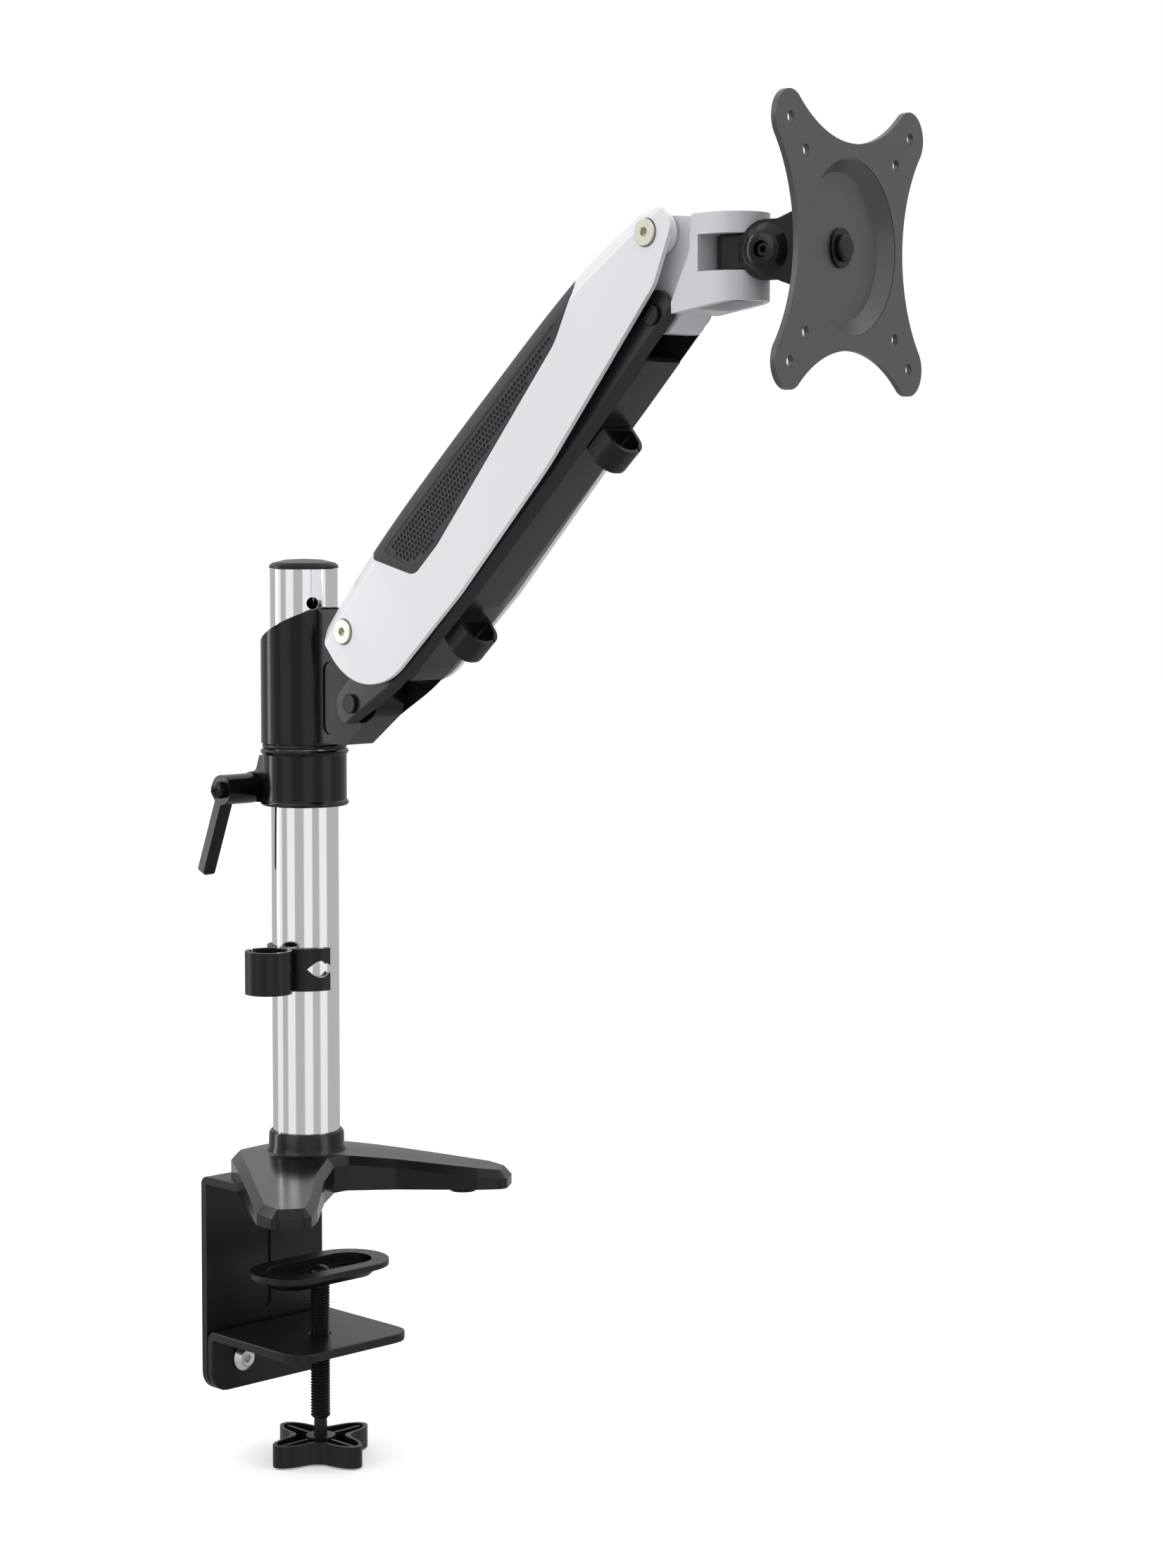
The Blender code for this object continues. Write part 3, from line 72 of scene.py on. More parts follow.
POLE_RADIUS = 0.017
POLE_WALL = 0.002
POLE_TOP = 0.3145
SLEEVE_RADIUS = 0.0219
SLEEVE_BOTTOM = 0.227
SLEEVE_LOW_TOP = 0.274
SLEEVE_HIGH_TOP = 0.2956
LUG_RADIUS = 0.0098
TONGUE_HALF = 0.0088
AXLE_BOSS_RADIUS = 0.0098
AXLE_BOSS_FACE = 0.01                         # the bosses' inner faces, either side of the bracket's tongue
PIN_BORE = 0.0033                               # for the gas spring's 6 mm pins

SHOULDER = centre("arm_axle_pole")             # lower pivot of the upper arm
HEAD_PIVOT = centre("arm_axle_head")
LINK_OFFSET = centre("link_pin_pole") - SHOULDER
ARM_LENGTH = (HEAD_PIVOT - SHOULDER).length
ARM_LIFT = math.atan2(HEAD_PIVOT.z - SHOULDER.z, HEAD_PIVOT.x - SHOULDER.x)
ARM_HALF = 0.0202
ARM_WALL = 0.0025
ARM_FLAT_HALF = 0.015                         # half of the arm's flat top
ARM_SHOULDER = 0.0073                          # height of the slanted band below the flat top
LINK_HALF = 0.014
LINK_WALL = 0.0028
LINK_TOP = 0.0098
PIVOT_RADIUS = 0.005
LINK_PIN_RADIUS = 0.0035

HEAD_REACH = centre("swivel_pin").x - HEAD_PIVOT.x
HEAD_RADIUS = 0.015
HEAD_TOP = 0.007
HEAD_BOTTOM = -0.031
WINDOW_CENTRE = -0.0102                        # height of the swivel tongue below the head pivot
WINDOW_HEIGHT = 0.016
HEAD_YAW = math.radians(10.6)
TILT_REACH = 0.0224                            # from the swivel axis to the tilt axis
PLATE_REACH = 0.0582                           # from the swivel axis to the front of the screen plate

VESA_LARGE = 0.1
VESA_SMALL = 0.075
VESA_HOLE = 0.0026                             # radius, for M4 screws
PLATE_THICK = 0.0025
PLATE_LOBE = 0.0116
DISH_DEPTH = 0.006
DISH_RADIUS = 0.0385
DISH_FLOOR = 0.032

BASE_UNDER = 0.0015
BASE_TOP = 0.019
BASE_TIP_TOP = 0.01
SOCKET_TOP = 0.03
CLAMP_WIDTH = 0.0765
CLAMP_BACK = -0.038
CLAMP_PLATE = 0.004
CLAMP_FOOT = -0.1055
JAW_TOP = -0.0738
JAW_FRONT = 0.039
SCREW_X = 0.01
SCREW_RADIUS = 0.005
PAD_TOP = -0.038
KNOB_TOP = -0.126
KNOB_HEIGHT = 0.011

COLLAR_BOTTOM = 0.1955
COLLAR_TOP = 0.224
COLLAR_RADIUS = 0.0212
LEVER_POINT = Vector((-0.027, 0.0, 0.203))   # on the clamp bolt's axis, which runs along Y
CLIP_BOTTOM = 0.103
CLIP_HEIGHT = 0.0215
CLIP_YAW = math.radians(-78.0)


# ---------------- materials, pieces
def add_node(nodes, kind, **values):
    """A shader node with the named inputs set; an underscore stands for a space."""
    node = nodes.new("ShaderNode" + kind)
    for socket, value in values.items():
        node.inputs[socket.replace("_", " ")].default_value = value
    return node


def make_material(name, colour, roughness, metallic=0.0, grain=900.0, bump=0.05, spread=0.04, sheen=0.5):
    """Principled finish whose roughness and surface vary with procedural noise."""
    material = bpy.data.materials.new(name)
    material.use_nodes = True
    nodes, links = material.node_tree.nodes, material.node_tree.links
    shader = nodes["Principled BSDF"]
    shader.inputs["Base Color"].default_value = (*colour, 1.0)
    shader.inputs["Metallic"].default_value = metallic
    shader.inputs["Specular IOR Level"].default_value = sheen
    where = add_node(nodes, "TexCoord")
    fine = add_node(nodes, "TexNoise", Scale=grain, Detail=3.0)
    broad = add_node(nodes, "TexNoise", Scale=28.0, Detail=5.0)
    blend = add_node(nodes, "MapRange", To_Min=max(0.02, roughness - spread), To_Max=roughness + spread)
    relief = add_node(nodes, "Bump", Strength=bump, Distance=0.0002)
    links.new(where.outputs["Object"], fine.inputs["Vector"])
    links.new(where.outputs["Object"], broad.inputs["Vector"])
    links.new(broad.outputs["Fac"], blend.inputs["Value"])
    links.new(blend.outputs["Result"], shader.inputs["Roughness"])
    links.new(fine.outputs["Fac"], relief.inputs["Height"])
    links.new(relief.outputs["Normal"], shader.inputs["Normal"])
    return material


def opened(mesh):
    cage = bmesh.new()
    cage.from_mesh(mesh)
    return cage


def closed(cage, mesh=None):
    """Writes an edited cage back to its mesh, or to a new one."""
    mesh = mesh or bpy.data.meshes.new("shape")
    cage.to_mesh(mesh)
    cage.free()
    return mesh


def add_to_scene(name, data):
    item = bpy.data.objects.new(name, data)
    bpy.context.scene.collection.objects.link(item)
    return item


def add_piece(name, mesh, finish, body, place=Matrix(), bevel=0.0004, stands_for=None, segments=2):
    """A detailed piece on a CAD body, with fine rounded edges."""
    material, slot = finish
    mesh.name = name
    mesh.transform(place)
    mesh.materials.clear()
    mesh.materials.append(material)
    cage = opened(mesh)
    if bevel:
        bmesh.ops.dissolve_degenerate(cage, dist=0.00002, edges=cage.edges)
    else:
        bmesh.ops.triangulate(cage, faces=cage.faces)
    closed(cage, mesh)
    mesh.shade_smooth()
    mesh.set_sharp_from_angle(angle=SHARP)
    piece = add_to_scene(name, mesh)
    if bevel:
        edge = piece.modifiers.new("Bevel", "BEVEL")
        edge.width = bevel
        edge.segments = segments
        edge.limit_method = "ANGLE"
        edge.angle_limit = SHARP
        edge.use_clamp_overlap = True
    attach(piece, body)
    for node in stands_for if isinstance(stands_for, (list, tuple)) else [stands_for or name]:
        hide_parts(node)
    return piece


# ---------------- shape tools, all giving a mesh
def temporary(data):
    return add_to_scene("tool", data)


def baked(item):
    """The evaluated mesh of a temporary object, with loose caps welded."""
    graph = bpy.context.evaluated_depsgraph_get()
    mesh = bpy.data.meshes.new_from_object(item.evaluated_get(graph))
    bpy.data.objects.remove(item, do_unlink=True)
    cage = opened(mesh)
    bmesh.ops.remove_doubles(cage, verts=cage.verts, dist=0.000005)
    bmesh.ops.recalc_face_normals(cage, faces=cage.faces)
    return closed(cage, mesh)


def flattened(mesh):
    """Merges the triangles of each flat cap into one face."""
    cage = opened(mesh)
    bmesh.ops.dissolve_limit(cage, angle_limit=0.0005, verts=cage.verts, edges=cage.edges)
    return closed(cage, mesh)


def box(low, high):
    cage = bmesh.new()
    bmesh.ops.create_cube(cage, size=1.0)
    size = Vector(high) - Vector(low)
    middle = (Vector(high) + Vector(low)) / 2
    bmesh.ops.transform(cage, matrix=Matrix.Translation(middle) @ Matrix.Diagonal((*size, 1)),
                        verts=cage.verts)
    return closed(cage)


def cylinder(radius, low, high, facets=FINE, top_radius=None, axis="Z", centre=(0, 0, 0)):
    """A cylinder or cone from low to high along an axis through centre."""
    cage = bmesh.new()
    end = radius if top_radius is None else top_radius
    bmesh.ops.create_cone(cage, cap_ends=True, segments=facets, radius1=radius, radius2=end, depth=high - low)
    turn = {"Z": Matrix(), "Y": Matrix.Rotation(-math.pi / 2, 4, "X"),
            "X": Matrix.Rotation(math.pi / 2, 4, "Y")}
    place = Matrix.Translation(centre) @ turn[axis] @ Matrix.Translation((0, 0, (low + high) / 2))
    bmesh.ops.transform(cage, matrix=place, verts=cage.verts)
    return closed(cage)


def across(radius, half, centre=(0, 0, 0)):
    """A cylinder along Y, half to either side of its centre."""
    return cylinder(radius, -half, half, axis="Y", centre=centre)


def lofted(rings):
    """A solid skinned over cross-sections that have the same number of points."""
    cage = bmesh.new()
    loops = [[cage.verts.new(point) for point in ring] for ring in rings]
    count = len(loops[0])
    for first, second in zip(loops, loops[1:]):
        for k in range(count):
            after = (k + 1) % count
            cage.faces.new((first[k], first[after], second[after], second[k]))
    cage.faces.new(loops[0])
    cage.faces.new(loops[-1])
    bmesh.ops.recalc_face_normals(cage, faces=cage.faces)
    return closed(cage)


def turned(profile, facets=ROUND, ring=False):
    """A solid of revolution about Z from (radius, height) points, outer side top to bottom."""
    mesh = bpy.data.meshes.new("profile")
    count = len(profile)
    edges = [(i, i + 1) for i in range(count - 1)]
    if ring:
        edges.append((count - 1, 0))
    mesh.from_pydata([(radius, 0, height) for radius, height in profile], edges, [])
    item = temporary(mesh)
    screw = item.modifiers.new("Screw", "SCREW")
    screw.steps = facets
    screw.render_steps = facets
    screw.use_merge_vertices = True
    screw.merge_threshold = 0.00001
    return baked(item)


def rounded(corners, step=math.radians(5)):
    """Points of an outline from (x, y, radius) corners, each round as a true arc."""
    points = []
    count = len(corners)
    for i, (x, y, radius) in enumerate(corners):
        here = Vector((x, y))
        before = (Vector(corners[i - 1][:2]) - here).normalized()
        after = (Vector(corners[(i + 1) % count][:2]) - here).normalized()
        if radius <= 0:
            points.append(here)
            continue
        half = before.angle(after) / 2
        centre = here + (before + after).normalized() * (radius / math.sin(half))
        first = here + before * (radius / math.tan(half)) - centre
        sweep = math.pi - 2 * half
        if before.x * after.y - before.y * after.x > 0:
            sweep = -sweep
        pieces = max(2, round(abs(sweep) / step))
        for k in range(pieces + 1):
            points.append(centre + Matrix.Rotation(sweep * k / pieces, 2) @ first)
    return points


def mirrored(half):
    """The corners of one half of an outline, then the same on the other side of x = 0."""
    return rounded(half + [(-x, y, radius) for x, y, radius in reversed(half)])


def prism(points, low, high, upright=False, holes=()):
    """A flat outline made thick: along Z from low to high, or for an upright one along Y."""
    curve = bpy.data.curves.new("outline", "CURVE")
    curve.dimensions = "2D"
    curve.fill_mode = "BOTH"
    curve.extrude = (high - low) / 2
    for loop in (points, *holes):
        spline = curve.splines.new("POLY")
        spline.points.add(len(loop) - 1)
        for target, point in zip(spline.points, loop):
            target.co = (point[0], point[1], 0, 1)
        spline.use_cyclic_u = True
    mesh = flattened(baked(temporary(curve)))
    mesh.transform(Matrix.Translation((0, 0, (low + high) / 2)))
    if upright:
        # the outline's second coordinate becomes height, and its thickness runs along Y
        mesh.transform(Matrix(((1, 0, 0, 0), (0, 0, 1, 0), (0, 1, 0, 0), (0, 0, 0, 1))))
        mesh.flip_normals()
    return mesh


def combined(mesh, others, operation):
    for other in others:
        item = temporary(mesh)
        tool = temporary(other)
        boolean = item.modifiers.new("Boolean", "BOOLEAN")
        boolean.operation = operation
        boolean.object = tool
        mesh = baked(item)
        bpy.data.objects.remove(tool, do_unlink=True)
    return mesh


def cut(mesh, *others):
    return combined(mesh, others, "DIFFERENCE")


def join(mesh, *others):
    return combined(mesh, others, "UNION")


def common(mesh, *others):
    return combined(mesh, others, "INTERSECT")


def moved(mesh, offset=(0, 0, 0), turn=0.0, axis="Z"):
    mesh.transform(Matrix.Translation(offset) @ Matrix.Rotation(turn, 4, axis))
    return mesh


def bevelled(mesh, width, chosen, segments=1):
    """Bevels the edges for which chosen(edge) is true."""
    cage = opened(mesh)
    cage.normal_update()
    edges = [edge for edge in cage.edges if len(edge.link_faces) == 2 and chosen(edge)]
    bmesh.ops.bevel(cage, geom=edges, offset=width, segments=segments, profile=0.5, affect="EDGES")
    return closed(cage, mesh)


def softened(mesh, width, segments=1):
    """All sharp edges bevelled."""
    item = temporary(mesh)
    bevel = item.modifiers.new("Bevel", "BEVEL")
    bevel.width = width
    bevel.segments = segments
    bevel.limit_method = "ANGLE"
    bevel.angle_limit = math.radians(50)
    return baked(item)


def rim(edge):
    """True for the edge between an upward face and an upright wall."""
    heights = sorted(face.normal.z for face in edge.link_faces)
    return abs(heights[0]) < 0.2 and heights[1] > 0.9


def lengthwise(edge):
    """True for an edge that runs along X."""
    return abs(edge.verts[0].co.x - edge.verts[1].co.x) > 0.0001


def lowest(edge, height):
    return all(vert.co.z < height + 0.0001 for vert in edge.verts)


def facing_x(mesh):
    """Turns a flat shape drawn in X and Y so that it faces X: X becomes height and Z becomes X."""
    mesh.transform(Matrix(((0, 0, 1, 0), (0, 1, 0, 0), (-1, 0, 0, 0), (0, 0, 0, 1))))
    return mesh


def circle(radius, centre, facets=FINE):
    angles = [0.2 + 2 * math.pi * k / facets for k in range(facets)]
    return [Vector((centre[0] + radius * math.cos(a), centre[1] + radius * math.sin(a))) for a in angles]


def stadium(length, width, step=math.radians(5)):
    """Outline with round ends, its length along Y."""
    x, y = width / 2, length / 2
    return rounded([(x, -y, x), (x, y, x), (-x, y, x), (-x, -y, x)], step)


def upright_slot(length, width):
    """Stadium outline with its length along X, for facing_x to stand up."""
    x, y = length / 2, width / 2
    return rounded([(-x, -y, y), (x, -y, y), (x, y, y), (-x, y, y)])


def button_screw(head_radius, head_height, shank_radius, length, socket):
    """Socket screw along -Z with its head above z = 0."""
    profile = [(0, head_height), (head_radius * 0.62, head_height), (head_radius, head_height * 0.35),
               (head_radius, 0), (shank_radius, 0), (shank_radius, -length), (0, -length)]
    return cut(turned(profile, FINE), cylinder(socket, head_height * 0.35, head_height + 0.001, 6))


# ---------------- desk base and clamp
def base_outline(inset=0.0):
    """Plan of the casting: two legs at 45 degrees to the front, a straight back edge."""
    half = [(0.0265 - inset, 0.004, 0), (0.042 - inset, 0.0235, 0.006), (0.0715 - inset, 0.0525, 0.004),
            (0.08 - inset, 0.064, 0.006), (0.07, 0.078 - inset, 0.006), (0.056, 0.0775 - inset, 0.004),
            (-0.029 + inset, 0.026 - inset, 0.003), (-0.0335 + inset, 0.02, 0.002)]
    return half + [(x, -y, radius) for x, y, radius in reversed(half)]


def make_base():
    casting = prism(rounded(base_outline()), BASE_UNDER, 0.03)
    slope = turned([(0, BASE_TOP), (0.022, BASE_TOP), (0.105, BASE_TIP_TOP), (0.13, BASE_TIP_TOP - 0.0027),
                    (0.13, -0.01), (0, -0.01)])
    casting = common(casting, slope)
    casting = bevelled(casting, 0.0038, rim)
    socket = turned([(0, SOCKET_TOP), (0.0182, SOCKET_TOP), (0.019, SOCKET_TOP - 0.0012),
                     (0.0192, BASE_TOP + 0.0035),
                     (0.0205, BASE_TOP + 0.0008), (0.024, BASE_TOP - 0.0012), (0.024, 0.01), (0, 0.01)])
    casting = join(casting, socket)
    bore = cylinder(POLE_RADIUS + GAP, 0.0095, 0.04, ROUND)
    foot_hole = cylinder(0.0044, -0.001, 0.02)
    foot_head = cylinder(0.0075, -0.001, 0.0055)
    half = CLAMP_WIDTH / 2 + 0.0005
    flange = box((-0.05, -half, -0.001), (0.017, half, 0.006))
    screws = [cylinder(0.0026, 0.001, 0.015, centre=(-0.02, side, 0)) for side in (-0.015, 0.015)]
    return cut(casting, bore, foot_hole, foot_head, flange, *screws)


def make_back_plate():
    """Inverted L of 4 mm steel: a flange under the casting and a web down the desk's edge."""
    half = CLAMP_WIDTH / 2
    inner = CLAMP_BACK + CLAMP_PLATE
    section = rounded([(CLAMP_BACK, 0.0057, 0.0045), (0.016, 0.0057, 0), (0.016, 0.0017, 0),
                       (inner, 0.0017, 0.001), (inner, CLAMP_FOOT, 0), (CLAMP_BACK, CLAMP_FOOT, 0)])
    plate = prism(section, -half, half, upright=True)
    plate = bevelled(plate, 0.01, lambda edge: lengthwise(edge) and lowest(edge, CLAMP_FOOT), 5)
    rib = prism(upright_slot(0.06, 0.011), CLAMP_BACK - 0.001, CLAMP_BACK + 0.001)
    groove = prism(upright_slot(0.056, 0.007), CLAMP_BACK + CLAMP_PLATE - 0.001, 0.0)
    rib, groove = (moved(facing_x(shape), offset=(0, 0, -0.04)) for shape in (rib, groove))
    plate = cut(join(plate, rib), groove)
    foot = cylinder(0.0078, -0.001, 0.008)
    tapped = [cylinder(0.0035, -0.05, 0.0, axis="X", centre=(0, side, -0.09)) for side in (-0.0185, 0.0185)]
    sunk = [cylinder(0.0048, 0.001, 0.008, top_radius=0.0024, centre=(-0.02, side, 0))
            for side in (-0.015, 0.015)]
    return cut(plate, foot, *tapped, *sunk)


def make_jaw():
    """Steel L bolted to the back plate, with the tapped shelf for the clamp screw."""
    half = CLAMP_WIDTH / 2
    back = CLAMP_BACK + CLAMP_PLATE + GAP
    inner = back + CLAMP_PLATE
    section = rounded([(back, JAW_TOP, 0.0052), (JAW_FRONT, JAW_TOP, 0), (JAW_FRONT, JAW_TOP - 0.0045, 0),
                       (inner, JAW_TOP - 0.0045, 0.0015), (inner, CLAMP_FOOT, 0), (back, CLAMP_FOOT, 0)])
    jaw = prism(section, -half, half, upright=True)
    jaw = bevelled(jaw, 0.01, lambda edge: lengthwise(edge) and lowest(edge, CLAMP_FOOT), 5)
    jaw = bevelled(jaw, 0.012, lambda edge: all(vert.co.x > JAW_FRONT - 0.0001 for vert in edge.verts)
                   and abs(edge.verts[0].co.y - edge.verts[1].co.y) < 0.0001, 5)
    bolts = [cylinder(0.0042, -0.04, 0.0, axis="X", centre=(0, side, -0.09)) for side in (-0.0185, 0.0185)]
    return cut(jaw, cylinder(SCREW_RADIUS + GAP, -0.1, -0.05, centre=(SCREW_X, 0, 0)), *bolts)


THREAD_PITCH = 0.0015
THREAD_DEPTH = 0.0009


def threaded(profile, low, high, facets=ROUND):
    """A turned solid whose radius follows a helical thread between two heights."""
    rows = []
    for (r0, z0), (r1, z1) in zip(profile, profile[1:]):
        steps = max(1, round(abs(z1 - z0) / (THREAD_PITCH / 8))) if z1 < high and z0 > low else 1
        rows += [(r0 + (r1 - r0) * k / steps, z0 + (z1 - z0) * k / steps) for k in range(steps)]
    rings = []
    for radius, z in rows[1:]:
        ring = []
        for k in range(facets):
            phase = (z / THREAD_PITCH - k / facets) % 1.0
            flank = abs(2 * phase - 1)
            depth = THREAD_DEPTH * min(1.0, max(0.0, 1.6 * flank - 0.3)) if low < z < high else 0.0
            angle = 2 * math.pi * k / facets
            ring.append(((radius - depth) * math.cos(angle), (radius - depth) * math.sin(angle), z))
        rings.append(ring)
    return lofted(rings)


def make_clamp_screw():
    """Threaded rod with a ball at the top and a plain shank for the knob."""
    thread_top, thread_end = PAD_TOP - 0.0095, -0.1165
    profile = [(0, PAD_TOP - 0.0005), (0.0012, PAD_TOP - 0.0005), (0.003, PAD_TOP - 0.001),
               (0.0045, PAD_TOP - 0.002), (0.0053, PAD_TOP - 0.0031), (0.0055, PAD_TOP - 0.0038),
               (0.0054, PAD_TOP - 0.0046), (0.0032, PAD_TOP - 0.0054), (0.0032, thread_top),
               (0.0042, thread_top),
               (SCREW_RADIUS, thread_top - 0.001), (SCREW_RADIUS, thread_end + 0.001), (0.0042, thread_end),
               (0.0033, thread_end), (0.0033, KNOB_TOP - 0.009), (0.003, KNOB_TOP - 0.009)]
    return threaded(profile, thread_end + 0.0012, thread_top - 0.0012)


def make_pressure_plate():
    """Dished stadium plate that the screw's ball pushes up."""
    flange = prism(stadium(0.079, 0.043), PAD_TOP - 0.003, PAD_TOP)
    bowl = prism(stadium(0.066, 0.03), PAD_TOP - 0.008, PAD_TOP - 0.0015)
    bowl = bevelled(bowl, 0.003, lambda edge: sorted(face.normal.z for face in edge.link_faces)[0] < -0.9
                    and sorted(face.normal.z for face in edge.link_faces)[1] > -0.2)
    plate = join(flange, bowl)
    hollow = prism(stadium(0.061, 0.025), PAD_TOP - 0.0057, PAD_TOP + 0.001)
    return cut(plate, hollow, cylinder(0.0036, PAD_TOP - 0.01, PAD_TOP))


def knob_outline(lobe, valley, count=4, facets=192):
    points = []
    for k in range(facets):
        angle = 2 * math.pi * k / facets
        wave = (0.5 + 0.5 * math.cos(count * angle)) ** 1.6
        radius = valley + (lobe - valley) * wave
        points.append(Vector((radius * math.cos(angle), radius * math.sin(angle))))
    return points


def make_knob():
    low = KNOB_TOP - KNOB_HEIGHT
    body = prism(knob_outline(0.03, 0.0155), low, KNOB_TOP)
    hollow = prism(knob_outline(0.0275, 0.0125), low + 0.003, KNOB_TOP + 0.001)
    ribs = [moved(box((-0.029, -0.0008, low + 0.002), (0.029, 0.0008, KNOB_TOP - 0.0006)), turn=angle)
            for angle in (0.0, math.pi / 2)]
    hub = cylinder(0.0075, low + 0.001, KNOB_TOP)
    inside = join(hub, *ribs)
    body = join(cut(body, hollow), common(inside, prism(knob_outline(0.0285, 0.014), low + 0.001, KNOB_TOP)))
    return cut(body, cylinder(0.0036, KNOB_TOP - 0.0095, KNOB_TOP + 0.001))


# ---------------- pole, collar, clip
def make_pole():
    inner = POLE_RADIUS - POLE_WALL
    foot = 0.01
    tube = turned([(inner, POLE_TOP), (POLE_RADIUS, POLE_TOP), (POLE_RADIUS, foot), (0, foot),
                   (0, foot + 0.006),
                   (inner, foot + 0.006)], ring=True)
    cable_hole = cylinder(0.003, 0.0, 0.03, axis="X", centre=(0, 0, 0.2975))
    cable_hole.transform(Matrix.Rotation(math.radians(-25), 4, "Z"))
    return cut(tube, cable_hole, cylinder(0.0041, 0.0, foot + 0.01))


def make_pole_cap():
    inner = POLE_RADIUS - POLE_WALL - GAP
    return turned([(0, POLE_TOP + 0.005), (0.009, POLE_TOP + 0.0046), (0.016, POLE_TOP + 0.003),
                   (0.0174, POLE_TOP + 0.0015), (0.0174, POLE_TOP + GAP), (inner, POLE_TOP + GAP),
                   (inner - 0.0004, POLE_TOP - 0.01), (0, POLE_TOP - 0.01)])


def make_collar():
    """Split clamp collar with two lugs behind the pole for the clamp bolt."""
    lip = 0.0223
    profile = [(POLE_RADIUS + GAP, COLLAR_TOP), (lip - 0.0008, COLLAR_TOP), (lip, COLLAR_TOP - 0.001),
               (lip - 0.0004, COLLAR_TOP - 0.0022), (COLLAR_RADIUS, COLLAR_TOP - 0.0028),
               (COLLAR_RADIUS, COLLAR_BOTTOM + 0.0028), (lip - 0.0004, COLLAR_BOTTOM + 0.0022),
               (lip, COLLAR_BOTTOM + 0.001), (lip - 0.0008, COLLAR_BOTTOM),
               (POLE_RADIUS + GAP, COLLAR_BOTTOM)]
    collar = turned(profile, ring=True)
    low, high = LEVER_POINT.z - 0.007, LEVER_POINT.z + 0.007
    lug_side = rounded([(-0.0345, low, 0.006), (-0.017, low, 0), (-0.017, high + 0.01, 0),
                        (-0.021, high + 0.01, 0), (-0.024, high + 0.002, 0.003), (-0.0345, high, 0.006)])
    lugs = prism(lug_side, -0.0125, 0.0125, upright=True)
    lugs = cut(lugs, cylinder(POLE_RADIUS + 0.001, 0.15, 0.25, ROUND))
    collar = join(collar, lugs)
    slit = box((-0.04, -0.001, COLLAR_BOTTOM - 0.001), (-0.01, 0.001, COLLAR_TOP + 0.001))
    bolt = across(0.0034, 0.04, LEVER_POINT)
    return cut(collar, slit, bolt)


def make_lever():
    """Hub round the bolt's end with a bar hanging from it, built about the bolt's axis."""
    hub = cylinder(0.0076, -0.0325, -0.013, axis="Y")
    swing = math.radians(22)
    bar = moved(softened(box((-0.004, -0.0325, -0.047), (0.004, -0.0249, 0.0)), 0.0015),
                turn=swing, axis="Y")
    lever = join(hub, bar)
    return cut(lever, cylinder(0.0034, -0.018, -0.01, axis="Y"), cylinder(0.0024, -0.04, -0.01, axis="Y"))


def make_lever_screw():
    """Pan-head screw with a crossed recess, in the end of the lever's hub."""
    screw = turned([(0, 0.0045), (0.0028, 0.0042), (0.0041, 0.0032), (0.0043, 0.0003), (0.002, 0.0003),
                    (0.002, -0.009), (0, -0.009)], FINE)
    arms = [moved(box((-0.0026, -0.0004, 0.0026), (0.0026, 0.0004, 0.006)), turn=angle)
            for angle in (0.4, 0.4 + math.pi / 2)]
    return cut(screw, join(*arms))


def make_pole_clip():
    """Snap-on clip: an open band round the pole with a slit cable loop beside it."""
    low, high = CLIP_BOTTOM, CLIP_BOTTOM + CLIP_HEIGHT
    band_inner, band_outer = POLE_RADIUS + GAP, 0.0195
    band = cut(cylinder(band_outer, low, high, ROUND), cylinder(band_inner, low - 0.001, high + 0.001, ROUND))
    mouth = prism([(0, 0), (-0.05, 0.034), (-0.05, -0.05), (-0.034, -0.05)], low - 0.001, high + 0.001)
    mouth = moved(mouth, turn=math.radians(-68))
    band = cut(band, mouth)
    reach = 0.0298
    loop = cylinder(0.0118, low, high, ROUND, centre=(reach, 0, 0))
    hollow = cylinder(0.0095, low - 0.001, high + 0.001, ROUND, centre=(reach, 0, 0))
    slit = box((reach - 0.0015, 0.005, low - 0.001), (reach + 0.0015, 0.015, high + 0.001))
    clip = join(band, cut(loop, cylinder(band_inner, low - 0.001, high + 0.001, ROUND)))
    clip = cut(clip, hollow, moved(slit, offset=(0, -0.02, 0)))
    window = prism(rounded([(-0.0075, 0, 0), (0.0, 0.0058, 0.006), (0.0075, 0, 0), (0.0, -0.0058, 0.006)]),
                   0.01, 0.03)
    window.transform(Matrix.Translation((0, 0, low + 0.011)) @ Matrix.Rotation(math.radians(62), 4, "Z")
                     @ Matrix.Rotation(math.pi / 2, 4, "Y") @ Matrix.Rotation(math.pi / 2, 4, "Z"))
    return cut(clip, window)


